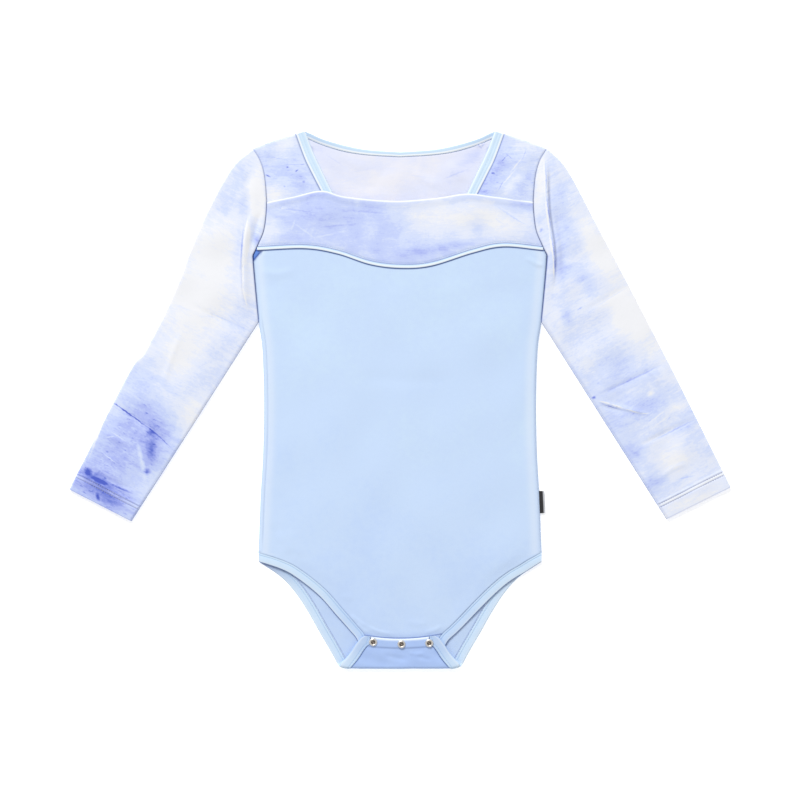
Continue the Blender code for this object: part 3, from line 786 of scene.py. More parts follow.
BINDING_STOPS = (
    (0.15, tone(200, 226, 254)),
    (0.50, tone(205, 230, 255)),
    (0.85, tone(210, 233, 255)),
)


def ribbon(name, edge, seam, profile, wall, place, finish, wobble=0.00015, shadow=0.0, deep_shade=0.0):
    """A folded strip: a closed cross-section run along its free edge and its seam."""
    top = np.array(profile)
    under = top[-2:0:-1] * (1, -1, 1, 1) + (0, 1, 0, 0)
    share, height, shade, highlight_share = np.vstack([top, under]).T
    plan = edge[:, None] + (seam - edge)[:, None] * share[:, None]
    run = lengths(edge)
    uneven = 1 + wobble / wall * swell(run, 0 * run, 0.02, len(name))[:, None] * (height - 0.5)
    points = place(plan[..., 0], plan[..., 1], wall * height * uneven)
    rows, columns = points.shape[:2]
    faces = grid_faces(rows, columns, True)
    faces += [tuple(range(columns)), tuple(range((rows - 1) * columns, rows * columns))]
    width = np.linalg.norm(seam - edge, axis=1).mean()
    flat = stacked(share * width, run[:, None])
    # Painted shade from the profile, from the shadow along the strip and from its deep mark; painted
    # highlight from the profile.
    shade = np.maximum(shade, np.broadcast_to(shadow, (rows,))[:, None]).ravel()
    deep_shade = np.repeat(np.broadcast_to(deep_shade, (rows,)), columns)
    marks = {"seam": shade, "painted_highlight": np.tile(highlight_share, rows), "deep_shade": deep_shade}
    return add_mesh(name, points.reshape(-1, 3), faces, flat.reshape(-1, 2), marks, [finish])


STITCH_SIZES = {"Pitch": 0.0026, "Length": 0.0018, "Thread": 0.00048, "Lean": 0.08}


def socket(modifier, name):
    """The identifier of an input of a modifier's node group."""
    return next(s.identifier for s in modifier.node_group.interface.items_tree if s.name == name)


def make_stitch_nodes():
    """Lays a small rounded thread at every pitch along the edges that it is given."""
    tree = bpy.data.node_groups.new("thread_stitches", "GeometryNodeTree")
    face = tree.interface
    face.new_socket("Geometry", in_out="INPUT", socket_type="NodeSocketGeometry")
    for name, value in STITCH_SIZES.items():
        face.new_socket(name, in_out="INPUT", socket_type="NodeSocketFloat").default_value = value
    face.new_socket("Seed", in_out="INPUT", socket_type="NodeSocketInt")
    face.new_socket("Finish", in_out="INPUT", socket_type="NodeSocketMaterial")
    face.new_socket("Geometry", in_out="OUTPUT", socket_type="NodeSocketGeometry")
    add = functools.partial(add_node, tree)
    given = add("NodeGroupInput").outputs
    curve = add("GeometryNodeMeshToCurve", {"Mesh": given["Geometry"]})
    spaced = add("GeometryNodeResampleCurve", mode="LENGTH")
    fill(tree, spaced, {"Curve": curve.outputs["Curve"], "Length": given["Pitch"]})
    bead = add("GeometryNodeMeshUVSphere", {"Segments": 6, "Rings": 5, "Radius": 0.5})
    size = add("ShaderNodeCombineXYZ", {"X": given["Length"], "Y": given["Thread"], "Z": given["Thread"]})
    shaped = add("GeometryNodeTransform", {"Geometry": bead.outputs["Mesh"], "Scale": size.outputs[0]})
    tangent = add("GeometryNodeInputTangent")
    turned = add("FunctionNodeAlignRotationToVector", {"Vector": tangent.outputs[0]}, axis="X")
    chance = add("FunctionNodeRandomValue", {"Seed": given["Seed"]}, data_type="FLOAT")
    least, most = [s for s in chance.inputs if s.type == "VALUE" and s.enabled]
    tree.links.new(math_node(tree, "MULTIPLY", given["Lean"], -1), least)
    tree.links.new(given["Lean"], most)
    lean = next(s for s in chance.outputs if s.type == "VALUE" and s.enabled)
    lean = add("ShaderNodeCombineXYZ", {"Z": lean})
    lean = add("FunctionNodeEulerToRotation", {0: lean.outputs[0]})
    leant = add("FunctionNodeRotateRotation", rotation_space="LOCAL")
    fill(tree, leant, {"Rotation": turned.outputs["Rotation"], "Rotate By": lean.outputs[0]})
    placed = {"Points": spaced.outputs["Curve"], "Instance": shaped.outputs["Geometry"]}
    placed["Rotation"] = leant.outputs["Rotation"]
    placed = add("GeometryNodeInstanceOnPoints", placed)
    real = add("GeometryNodeRealizeInstances", {"Geometry": placed.outputs["Instances"]})
    painted = {"Geometry": real.outputs["Geometry"], "Material": given["Finish"]}
    painted = add("GeometryNodeSetMaterial", painted)
    add("NodeGroupOutput", {"Geometry": painted.outputs["Geometry"]})
    return tree


stitch_nodes = make_stitch_nodes()


def sew(name, lines, finish, seed, pitch=STITCH_SIZES["Pitch"]):
    """Rows of stitches along 3-D lines, as one plain mesh."""
    points = np.concatenate(lines)
    starts = np.cumsum([0, *[len(line) for line in lines]])
    edges = [(i, i + 1) for a, b in zip(starts, starts[1:]) for i in range(a, b - 1)]
    guide = bpy.data.meshes.new(f"{name}_guide")
    guide.from_pydata(points.tolist(), edges, [])
    obj = new_object(name, guide)
    modifier = obj.modifiers.new("stitches", "NODES")
    modifier.node_group = stitch_nodes
    values = {**STITCH_SIZES, "Pitch": pitch, "Seed": seed, "Finish": finish}
    for key, value in values.items():
        modifier[socket(modifier, key)] = value
    bpy.context.view_layer.update()
    graph = bpy.context.evaluated_depsgraph_get()
    obj.data = bpy.data.meshes.new_from_object(obj.evaluated_get(graph))
    obj.modifiers.remove(modifier)
    obj.data.shade_smooth()
    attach(obj, "root")
    return obj


def thread_material(name, colour):
    """Spun polyester thread: a soft sheen and a fine twist."""
    made, tree, shader = new_material(name, {"Roughness": 0.6, "Specular IOR Level": 0.35})
    place = tree.nodes.new("ShaderNodeTexCoord").outputs["Object"]
    darker = tuple(0.8 * c for c in colour[:3]) + (1,)
    fill(tree, shader, {"Base Color": mixed(tree, noise(tree, place, 900.0, 2.0, 0.5), darker, colour)})
    return made


binding_blue = body_jersey("binding_jersey", BINDING_STOPS)
thread_blue = thread_material("thread_blue", tone(192, 219, 246))
thread_pale = thread_material("thread_pale", tone(232, 243, 253))

back_rows = np.concatenate([[seam_top - 1.5 * SEAM_GAP], fold_rows[1:]])
outer = np.where(back_rows < LEG_CORNER[1], x_at(back_free, back_rows), x_at(side, back_rows))
inner = x_at(back_seam, back_rows) + SEAM_GAP
flap_sag = ease((FOLD_END_Y - back_rows) / (FOLD_END_Y - FLAP_END_Y))


def under_and_over(x, y, height):
    """Where the back bindings lie. On the flap their outer face stands a little proud of it."""
    depth = height - FLAP_STRIP_PROUD * ease((FOLD_Y - y) / (math.pi * FOLD_RADIUS))
    return fold_over(x, y, -depth)


def back_binding_y(half):
    """Where the back bindings' rows lie along the flat cloth, with the sag of the flap's end."""
    return back_rows + FLAP_SAG * (FLAP_SAG_SHARE - (half / FLAP_SAG_HALF_WIDTH) ** 2) * flap_sag


leg_stitches = []
for name, sign in (("left", -1), ("right", 1)):
    edge = stacked(sign * outer, back_binding_y(outer))
    seam = stacked(sign * inner, back_binding_y(inner))
    shadow = LEG_CORNER_SHADE * bell(seam_top - back_rows, LEG_CORNER_REACH) + FLAP_STRIP_SHADE * flap_sag
    binding = ribbon(
        f"back_leg_strip_{name}",
        edge,
        seam,
        BACK_BINDING_PROFILE, BACK_BINDING_WALL,
        under_and_over,
        binding_blue,
        shadow=shadow,
        deep_shade=FLAP_STRIP_DEEP_SHADE * np.minimum(2 * flap_sag, 1),
    )
    for share in LEG_STITCHES:
        row = edge + (seam - edge) * share
        below, above = row[:, 1] > FOLD_Y, row[:, 1] < FOLD_Y - FOLD_RADIUS
        for part, height_share in ((below, 0.85), (above, 0.15)):
            leg_stitches.append(under_and_over(*row[part].T, height_share * BACK_BINDING_WALL))
    settle(binding, "binding_jersey", f"leg_binding_back_{name}")
sew("back_leg_stitches", leg_stitches, thread_blue, 11)


# Front body
# One panel of the same pale blue jersey, from under the chest band to the crotch. The side seams
# join it to the back body. A faint fold line from packing crosses it, and it is a little slack.
FRONT_LEVEL = CLOTH + SEAM_GAP
PUFF = 0.0020
PUFF_TOP_Y = 0.2500
PUFF_TOP_FADE = 0.0600
PUFF_CROTCH_Y = -0.2350
PUFF_CROTCH_FADE = 0.1100
PUFF_OUTLINE = (  # y, half width
    (-0.2500, 0.0400), (-0.2200, 0.0520), (-0.1900, 0.0800), (-0.1536, 0.1340), (0.0000, 0.1285),
    (0.1368, 0.1392), (0.1900, 0.1280), (0.2380, 0.1390), (0.2550, 0.1000),
)
CHEST_SEAM = (  # x, y
    (-0.1354, 0.1452), (-0.0900, 0.1468), (-0.0590, 0.1417), (-0.0280, 0.1316), (0.0010, 0.1281),
    (0.0300, 0.1304), (0.0690, 0.1426), (0.0980, 0.1485), (0.1354, 0.1452),
)
SEAM_ALLOWANCE = 0.0060
CHEST_WIDTH = 0.2680
FRONT_PITCH = 0.0024
FRONT_LEG = {  # x, y
    "left": (
        (-0.1340, -0.1536), (-0.1207, -0.1577), (-0.1064, -0.1634), (-0.0898, -0.1748),
        (-0.0750, -0.1876), (-0.0608, -0.2040), (-0.0480, -0.2185), (-0.0400, -0.2295),
        (-0.0375, -0.2460),
    ),
    "right": (
        (0.1340, -0.1536), (0.1192, -0.1631), (0.1045, -0.1720), (0.0903, -0.1840),
        (0.0756, -0.1986), (0.0574, -0.2176), (0.0435, -0.2315), (0.0405, -0.2460),
    ),
}
SIDE_SEAM_INSET = (0.0034, 0.0011)
UNDERARM_PARTING = (0.1335, 0.0741)
PIPING_WIDTH = 0.0036
FRONT_SWELL_TOP = 0.1200
TUCK_LINE = ((-0.1300, 0.1430), (-0.1335, 0.1385), (-0.1400, 0.1305))
TUCK_CORNER = (-0.1400, 0.1380)
TUCK_REACH = 0.0085
TUCK_DEEP_SHADE = 0.72
TUCK_SHADE = 0.12
SIDE_SEAM_SHADE = 0.16
SIDE_SEAM_DEPTH = 0.00035
UNDER_PIPING_SHADE = 0.95
UNDER_SLEEVE_SHADE = 0.90
UNDER_FLAP_SHADE = 0.85
NEAR_FLAP_SHADE = 0.20
FRONT_CREASES = (  # height, breadth to the left, breadth to the right, points from end to end
    (-0.0003, 0.0080, 0.0060, ((-0.0500, 0.0180), (-0.0200, 0.0200), (0.0100, 0.0180), (0.0600, 0.0190))),
    (0.0005, 0.0030, 0.0045, ((-0.1150, -0.1230), (-0.1100, -0.1340), (-0.1020, -0.1470))),
    (0.0004, 0.0030, 0.0040, ((-0.1060, -0.1200), (-0.0990, -0.1370), (-0.0900, -0.1500))),
    (-0.0004, 0.0030, 0.0030, ((-0.1200, -0.1150), (-0.1160, -0.1300), (-0.1100, -0.1450))),
    (0.0002, 0.0030, 0.0030, ((-0.0560, -0.1840), (-0.0500, -0.1870), (-0.0430, -0.1850))),
    (0.0004, 0.0016, 0.0030, ((-0.0480, -0.2020), (-0.0400, -0.2090), (-0.0300, -0.2160))),
    (0.0004, 0.0014, 0.0024, ((-0.0330, -0.2130), (-0.0210, -0.2190), (-0.0040, -0.2225))),
    (0.0003, 0.0016, 0.0016, ((-0.0420, -0.2110), (-0.0340, -0.2180), (-0.0280, -0.2225))),
    (0.0003, 0.0020, 0.0020, ((0.0410, -0.2130), (0.0330, -0.2180), (0.0220, -0.2210))),
    (0.0002, 0.0030, 0.0030, ((0.0050, -0.2080), (0.0150, -0.2120), (0.0280, -0.2110))),
    (-0.0007, 0.0012, 0.0020, ((-0.1290, 0.1440), (-0.1330, 0.1390), (-0.1390, 0.1330))),
    (0.0006, 0.0020, 0.0020, ((0.1370, 0.1270), (0.1290, 0.1290), (0.1200, 0.1360))),
    (0.0004, 0.0040, 0.0040, ((-0.1330, 0.1250), (-0.1180, 0.1190), (-0.0980, 0.1240))),
)


def puff(x, y):
    """How far the air left in the garment lifts its front at a place."""
    half = np.interp(y, *zip(*PUFF_OUTLINE))
    across = 1 - np.minimum(np.abs(x) / half, 1) ** 4
    up = ease((PUFF_TOP_Y - y) / PUFF_TOP_FADE) * ease((y - PUFF_CROTCH_Y) / PUFF_CROTCH_FADE)
    return PUFF * across * up


def on_front(x, y, height):
    """Places at a height over the inner side of the front's cloth."""
    return stacked(x, y, FRONT_LEVEL + puff(x, y) + height)


def flap_edge(x):
    """Where the end of the crotch flap comes to lie on the front."""
    sag_here = FLAP_SAG * (FLAP_SAG_SHARE - (x / FLAP_SAG_HALF_WIDTH) ** 2)
    return 2 * FOLD_Y - math.pi * FOLD_RADIUS - FLAP_END_Y - sag_here


def leg_lines(name):
    """The front's leg edge and the seam of its binding, as matching points, closest near the flap."""
    edge = along(smooth_line(FRONT_LEG[name]), np.linspace(0, 1, 15))
    shares = np.concatenate([np.linspace(0, 0.66, 48, endpoint=False), np.linspace(0.66, 1, 72)])
    seam = inset(edge, LEG_BINDING_WIDTH, (0, 1))
    return along(smooth_line(edge), shares), along(smooth_line(seam), shares)


leg_left, leg_right = leg_lines("left"), leg_lines("right")
chest = smooth_line(CHEST_SEAM)
sides = np.vstack([armhole[:-1], side])
front_top = CHEST_SEAM[0][1] + SEAM_ALLOWANCE
leg_top = leg_left[1][0, 1]
side_steps = (0.0, 0.0004, 0.0010, 0.0017, 0.0024, 0.0029, 0.0034, 0.0039, 0.0046, 0.0058)
u = spread(CHEST_WIDTH, FRONT_PITCH, side_steps)
row_bands = ((0, 0.0080, 6), (0.0080, 0.0145, 20), (0.0145, 0.0320, 22), (0.0320, front_top - leg_top, 110))
fall = np.concatenate([np.linspace(*band, endpoint=False) for band in row_bands])
drop = (fall / (front_top - leg_top))[:, None]
straight = front_top + (leg_top - front_top) * drop
half_width = x_at(sides, straight)
upper_x = (2 * u - 1) * half_width
dip = (y_at(chest, upper_x) - CHEST_SEAM[0][1]) * (1 - drop) ** 3
upper = stacked(upper_x, straight + dip)
lower = leg_left[1][:, None] + (leg_right[1] - leg_left[1])[:, None] * u[:, None]
x, y = np.moveaxis(np.concatenate([upper, lower]), -1, 0)
row_width = (x[:, -1] - x[:, 0])[:, None]
left_gap, right_gap = u * row_width, (1 - u) * row_width
side_gap = np.minimum(left_gap, right_gap)
at_side = ease((y - leg_top) / 0.004 + 1)
on_side = ease((y - leg_top) / 0.02) * ease((0.085 - y) / 0.02)
side_seam = np.maximum(
    bell(left_gap - SIDE_SEAM_INSET[0], 0.0006),
    bell(right_gap - SIDE_SEAM_INSET[1], 0.0005),
) * on_side
height = (
    CLOTH
    + creased(x, y, FRONT_CREASES)
    + 0.00030 * swell(x, y, 0.060, 8) * ease(side_gap / 0.02) * ease((FRONT_SWELL_TOP - y) / 0.02)
    - rolled(side_gap, 0.0030, 0.0013) * at_side
    - rolled(side_gap, 0.0012, 0.0007) * (1 - at_side)
    - SIDE_SEAM_DEPTH * side_seam
)
below_piping = y_at(chest, x) - PIPING_WIDTH - y
at_sleeve = ease((y - UNDERARM_PARTING[1]) / 0.004) * at_side
tuck, _ = off_line(x, y, smooth_line(TUCK_LINE, 8))
in_tuck = ease((TUCK_REACH - np.hypot(x - TUCK_CORNER[0], y - TUCK_CORNER[1])) / 0.002) * (tuck < 0)
flap_gap = y - flap_edge(x)
# Painted shade: lines along the side edges and side seams, under the piping, against the sleeves and along
# the armpit tuck, a soft shade inside the tuck, a line under the flap's end and a soft shade around it.
painted_shade = np.maximum.reduce(
    [
        bell(side_gap, 0.0006) * (0.5 - 0.35 * at_side),
        SIDE_SEAM_SHADE * side_seam,
        UNDER_PIPING_SHADE * bell(below_piping - 0.0002, 0.0006),
        UNDER_SLEEVE_SHADE * bell(side_gap, 0.0008) * at_sleeve,
        bell(tuck, 0.0011) * (np.abs(x - TUCK_CORNER[0]) < TUCK_REACH),
        TUCK_SHADE * in_tuck,
        UNDER_FLAP_SHADE * bell(flap_gap - 0.0003, 0.0006),
        NEAR_FLAP_SHADE * bell(flap_gap, 0.0040),
    ]
)
wall = CLOTH - thinned(side_gap)
# Painted highlight a little in from the sides, and painted deep shade in the armpit tuck.
front_body = shell(
    "front_cloth",
    on_front(x, y, height),
    wall,
    stacked(x, y),
    {
        "seam": painted_shade,
        "painted_highlight": 0.25 * bell(side_gap - 0.0060, 0.0040) * at_side * (1 - in_tuck),
        "deep_shade": TUCK_DEEP_SHADE * in_tuck,
    },
    [body_blue],
)
settle(front_body, "body_jersey", "front_body")


# Front leg bindings
# The same folded strips edge the front of the leg openings. They meet the back's at the side
# seams, and their lower ends run under the flap.
# Painted shade: the front leg strips are darkened towards a deeper blue near their lower ends.
LOW_STRIP_DEEP_SHADE = 0.16
LOW_STRIP_Y = -0.1750
LOW_STRIP_FADE = 0.0450
LAST_STITCH_Y = -0.2250
leg_stitches = []
for name, (edge, seam) in (("left", leg_left), ("right", leg_right)):
    deep_shade = LOW_STRIP_DEEP_SHADE * ease((LOW_STRIP_Y - edge[:, 1]) / LOW_STRIP_FADE)
    binding = ribbon(
        f"front_leg_strip_{name}",
        edge,
        seam,
        BINDING_PROFILE, BINDING_WALL,
        on_front,
        binding_blue,
        deep_shade=deep_shade,
    )
    for share in LEG_STITCHES:
        row = edge + (seam - edge) * share
        leg_stitches.append(on_front(*row[row[:, 1] > LAST_STITCH_Y].T, 0.80 * BINDING_WALL))
    settle(binding, "binding_jersey", f"leg_binding_front_{name}")
sew("front_leg_stitches", leg_stitches, thread_blue, 12)


# Front shoulders
# Two panels of the tie-dyed jersey lie between the neck bindings and the armholes. Shoulder seams
# join them to the yoke, and their lower ends are caught under the chest band.
NECK_FRONT_FREE = (  # half width, y
    (0.0898, 0.2549), (0.0828, 0.2363), (0.0752, 0.2199), (0.0650, 0.1986), (0.0575, 0.1835),
)
NECK_FRONT_SEAM = (  # half width, y
    (0.0992, 0.2520), (0.0907, 0.2290), (0.0842, 0.2155), (0.0752, 0.1980), (0.0680, 0.1835),
)
SHOULDER_END_Y = (0.1850, 0.1790)
SHOULDER_BOW = 0.0008
SHOULDER_HEIGHT = 0.0660
SHOULDER_WIDTH = 0.0440
SHOULDER_MEAN_WIDTH = 0.0360
SHOULDER_PITCH = 0.0016
SHOULDER_GROUND = 0.48
SHOULDER_DYE = {  # x, y, half length, half width, turn in degrees, strength
    "left": (
        (-0.1206, 0.1950, 0.0130, 0.0080, 0, -0.34),
        (-0.1090, 0.2430, 0.0180, 0.0060, 18, -0.18),
        (-0.1080, 0.2190, 0.0180, 0.0100, 0, 0.08),
        (-0.0930, 0.2030, 0.0120, 0.0060, -60, 0.10),
    ),
    "right": (
        (0.0880, 0.2120, 0.0220, 0.0080, 62, 0.30),
        (0.1150, 0.2420, 0.0160, 0.0070, -15, -0.20),
        (0.1060, 0.2040, 0.0160, 0.0045, 50, -0.20),
        (0.1180, 0.2080, 0.0130, 0.0045, 50, 0.10),
    ),
}
SHOULDER_LINES = (  # thin strokes: x, y, half length, half width, turn in degrees, strength
    (-0.1249, 0.2123, 0.0034, 0.0010, -30, 0.75),
    (-0.0979, 0.2171, 0.0026, 0.0011, 35, 0.70),
    (-0.0922, 0.2233, 0.0034, 0.0006, 10, 0.45),
    (-0.1020, 0.2232, 0.0110, 0.0006, -3, 0.28),
    (-0.1066, 0.2206, 0.0014, 0.0011, 0, 0.50),
    (-0.0914, 0.2067, 0.0020, 0.0017, 0, 0.45),
    (-0.1093, 0.2023, 0.0014, 0.0011, 0, 0.40),
    (-0.1150, 0.2290, 0.0120, 0.0008, -12, 0.22),
    (0.0882, 0.2149, 0.0024, 0.0010, -20, 0.65),
    (0.0990, 0.2290, 0.0060, 0.0007, 45, 0.40),
    (0.1035, 0.2310, 0.0052, 0.0007, -42, 0.35),
    (0.1105, 0.2230, 0.0110, 0.0009, 52, -0.45),
    (0.1030, 0.2110, 0.0120, 0.0009, 50, -0.42),
    (0.0955, 0.2030, 0.0064, 0.0008, 60, 0.40),
    (0.1180, 0.2330, 0.0064, 0.0006, 70, 0.35),
)
dyed_shoulders = dyed_jersey("dyed_jersey_shoulders", DYE_STOPS, SHOULDER_LINES, shift=0.13)
neck_seam = smooth_line(NECK_FRONT_SEAM)
for name, sign in (("left", -1), ("right", 1)):
    drop = spread(SHOULDER_HEIGHT, SHOULDER_PITCH)[:, None]
    u = spread(SHOULDER_WIDTH, SHOULDER_PITCH)
    neck_y = NECK_FRONT_SEAM[0][1] * (1 - drop) + SHOULDER_END_Y[0] * drop
    arm_y = SHOULDER_POINT[1] * (1 - drop) + SHOULDER_END_Y[1] * drop
    neck_x, arm_x = x_at(neck_seam, neck_y), x_at(armhole, arm_y)
    x = sign * (neck_x + (arm_x - neck_x) * u)
    y = neck_y + (arm_y - neck_y) * u + SHOULDER_BOW * 4 * u * (1 - u) * (1 - drop)
    neck_gap, arm_gap = u * SHOULDER_MEAN_WIDTH + 0 * y, (1 - u) * SHOULDER_MEAN_WIDTH + 0 * y
    top_gap = drop * SHOULDER_HEIGHT + 0 * y
    height = (
        CLOTH
        + 0.00030 * (1 + swell(x, y, 0.022, 20 + sign)) * ease(np.minimum(neck_gap, arm_gap) / 0.01)
        - rolled(neck_gap, 0.0014, 0.0009)
        - rolled(arm_gap, 0.0018, 0.0009)
        - rolled(top_gap, 0.0022, 0.0012)
    )
    near = np.minimum(np.minimum(neck_gap, arm_gap), top_gap)
    # Painted shade along the neck seam and the armhole seam.
    painted_shade = np.maximum(0.9 * bell(neck_gap, 0.0006), 0.45 * bell(arm_gap, 0.0005))
    panel = shell(
        f"shoulder_cloth_{name}",
        on_front(x, y, height),
        CLOTH - thinned(near),
        stacked(x, y),
        {"seam": painted_shade, "dye_and_shade": dyed(x, y, SHOULDER_GROUND, SHOULDER_DYE[name])},
        [dyed_shoulders],
        inward=-sign,
    )
    settle(panel, "dyed_jersey", f"front_shoulder_{name}")


# Neck bindings
# A folded strip of pale blue jersey runs down each front neck edge and in a curve round the back.
# In front it has two rows of stitches with a rib between them, and behind one row by its seam.
NECK_BACK_FREE = (  # half width, y
    (0.0000, 0.2354), (0.0310, 0.2376), (0.0525, 0.2417), (0.0729, 0.2476), (0.0850, 0.2530),
    (0.0895, 0.2547),
)
# The seam shade column is painted shade and the paleness column a painted highlight.
NECK_PROFILE = (  # share from the free edge to the seam, share of the wall, seam shade, paleness
    (0.000, 0.50, 0.10, 0.00),
    (0.030, 0.82, 0.00, 0.30),
    (0.090, 0.98, 0.00, 0.60),
    (0.200, 1.00, 0.00, 0.10),
    (0.340, 0.98, 0.02, 0.00),
    (0.400, 0.90, 0.07, 0.00),
    (0.460, 0.97, 0.02, 0.00),
    (0.560, 1.00, 0.00, 0.15),
    (0.640, 0.97, 0.02, 0.00),
    (0.690, 0.90, 0.07, 0.00),
    (0.740, 0.97, 0.00, 0.20),
    (0.800, 1.00, 0.00, 0.85),
    (0.890, 0.98, 0.00, 0.85),
    (0.940, 0.84, 0.10, 0.20),
    (1.000, 0.45, 0.95, 0.00),
)
# The seam shade column is painted shade and the paleness column a painted highlight.
NECK_BACK_PROFILE = (  # share from the free edge to the seam, share of the wall, seam shade, paleness
    (0.000, 0.50, 0.05, 0.00),
    (0.030, 0.82, 0.03, 0.00),
    (0.100, 0.98, 0.03, 0.00),
    (0.250, 1.00, 0.03, 0.00),
    (0.450, 1.00, 0.02, 0.00),
    (0.560, 0.96, 0.06, 0.00),
    (0.620, 0.97, 0.00, 0.60),
    (0.700, 1.00, 0.00, 0.95),
    (0.860, 0.99, 0.00, 0.95),
    (0.910, 0.90, 0.05, 0.40),
    (0.950, 0.80, 0.20, 0.00),
    (1.000, 0.55, 0.35, 0.00),
)
NECK_END_SHADE = 0.90
NECK_END_REACH = 0.0011
NECK_STOPS = (
    (0.20, tone(200, 226, 251)),
    (0.50, tone(206, 231, 254)),
    (0.80, tone(212, 235, 255)),
)
NECK_BACK_WALL = 0.0016
NECK_STITCHES = (0.40, 0.69)
NECK_BACK_STITCHES = 0.93
neck_blue = body_jersey("neck_binding_jersey", NECK_STOPS)
neck_free = smooth_line(NECK_FRONT_FREE)
neck_stitches = []
for name, sign in (("left", -1), ("right", 1)):
    shares = np.linspace(0, 1, 45)
    edge, seam = (along(line, shares) * (sign, 1) for line in (neck_free, neck_seam))
    binding = ribbon(f"front_neck_strip_{name}", edge, seam, NECK_PROFILE, BINDING_WALL, on_front, neck_blue)
    for share in NECK_STITCHES:
        row = (edge + (seam - edge) * share)[2:-6]
        neck_stitches.append(on_front(*row.T, 0.84 * BINDING_WALL))
    settle(binding, "binding_jersey", f"neck_binding_front_{name}")


lower_half = along(neck_back, np.linspace(0, 1, 50))
upper_half = along(smooth_line(NECK_BACK_FREE), np.linspace(0, 1, 50))
seam, edge = (np.vstack([half[:0:-1] * (-1, 1), half]) for half in (lower_half, upper_half))
run = lengths(edge)
end_gap = np.minimum(run, run[-1] - run)
shadow = np.maximum(NECK_END_SHADE * bell(end_gap, NECK_END_REACH), 0.22 * bell(end_gap, 0.035))
binding = ribbon(
    "back_neck_strip",
    edge,
    seam,
    NECK_BACK_PROFILE, NECK_BACK_WALL,
    stacked,
    neck_blue,
    shadow=shadow,
)
row = edge + (seam - edge) * NECK_BACK_STITCHES
neck_stitches.append(stacked(*row.T, 0.85 * NECK_BACK_WALL))
settle(binding, "binding_jersey", "neck_binding_back")
sew("neck_stitches", neck_stitches, thread_pale, 13)


# Chest band and its piping
# A strip of the tie-dyed jersey crosses the chest over the shoulders' ends. Its top is a folded
# edge. Its bottom is sewn down along a wavy seam, above a narrow roll of light piping.
BAND_LEVEL = FRONT_LEVEL + CLOTH + SEAM_GAP
BAND_TOP = (  # x, y
    (-0.1268, 0.1874), (-0.1000, 0.1930), (-0.0745, 0.1982), (-0.0520, 0.1925), (-0.0050, 0.1885),
    (0.0340, 0.1913), (0.0632, 0.1953), (0.0880, 0.1927), (0.1268, 0.1879),
)
BAND_HEIGHT = 0.0500
BAND_PITCH = 0.0020
BAND_GROUND = 0.58
BAND_FOLD_RISE = 0.0004
BAND_STITCH_GAP = 0.0017
BAND_GROOVE_DEPTH = 0.0002
FINE_STITCH_PITCH = 0.0024
NECK_HUMP_X = 0.0680
NECK_HUMP_HEIGHT = 0.0011
NECK_HUMP_WIDTH = 0.0170
NECK_HUMP_Y = 0.1600
NECK_HUMP_FADE = 0.0200
PIPING_WALL = 0.0019
# The seam shade column is painted shade, darkest along the lower edge, and the paleness column a painted
# highlight on the roll.
PIPING_PROFILE = (  # share from the free edge to the seam, share of the wall, seam shade, paleness
    (0.000, 0.50, 1.00, 0.00),
    (0.040, 0.70, 0.95, 0.00),
    (0.120, 0.88, 0.30, 0.10),
    (0.230, 0.98, 0.00, 0.80),
    (0.450, 1.00, 0.00, 0.80),
    (0.620, 0.97, 0.00, 0.35),
    (0.780, 0.88, 0.05, 0.00),
    (0.900, 0.72, 0.25, 0.00),
    (1.000, 0.50, 0.65, 0.00),
)
BAND_DYE = (  # x, y, half length, half width, turn in degrees, strength
    (-0.1270, 0.1600, 0.0180, 0.0130, 40, -0.34),
    (-0.0640, 0.1720, 0.0500, 0.0170, 0, 0.08),
    (0.0180, 0.1740, 0.0200, 0.0200, 0, -0.22),
    (0.0560, 0.1740, 0.0360, 0.0210, 0, -0.44),
    (0.1020, 0.1640, 0.0300, 0.0150, 0, -0.40),
    (0.0735, 0.1640, 0.0095, 0.0075, 0, 0.36),
    (0.1180, 0.1850, 0.0120, 0.0050, -10, 0.14),
    (0.0400, 0.1440, 0.0500, 0.0045, 10, 0.20),
    (-0.0080, 0.1400, 0.0260, 0.0060, -8, 0.08),
)
# Some of these strokes follow the band's creases: dark ones are painted shade in a crease's trough, light
# ones a painted highlight on its ridge.
BAND_DYE_AND_SHADE_LINES = (  # thin strokes: x, y, half length, half width, turn in degrees, strength
    (0.1030, 0.1760, 0.0170, 0.0012, -33, 0.22),
    (0.1120, 0.1700, 0.0140, 0.0009, -28, 0.22),
    (0.0930, 0.1700, 0.0090, 0.0009, -35, 0.16),
    (-0.1000, 0.1800, 0.0200, 0.0011, -8, 0.18),
    (-0.0600, 0.1650, 0.0220, 0.0013, 5, 0.16),
    (-0.0900, 0.1600, 0.0160, 0.0011, -35, -0.18),
    (-0.0300, 0.1780, 0.0220, 0.0011, -5, 0.15),
    (-0.0700, 0.1560, 0.0240, 0.0012, 12, -0.14),
    (-0.1010, 0.1660, 0.0070, 0.0014, 70, -0.20),
)
BAND_CREASES = (  # height, breadth to the left, breadth to the right, points from end to end
    (0.0004, 0.0030, 0.0020, ((0.0880, 0.1840), (0.1040, 0.1755), (0.1200, 0.1640))),
    (-0.0003, 0.0020, 0.0030, ((0.0950, 0.1830), (0.1100, 0.1740), (0.1230, 0.1660))),
    (0.0003, 0.0040, 0.0030, ((-0.1180, 0.1800), (-0.1050, 0.1700), (-0.0980, 0.1560))),
)


def on_band(x, y, height):
    """Over the front panels, and humped where the neck bindings run underneath."""
    hump = bell(np.abs(x) - NECK_HUMP_X, NECK_HUMP_WIDTH)
    rise = NECK_HUMP_HEIGHT * hump * ease((y - NECK_HUMP_Y) / NECK_HUMP_FADE)
    return stacked(x, y, BAND_LEVEL + puff(x, y) + rise + height)


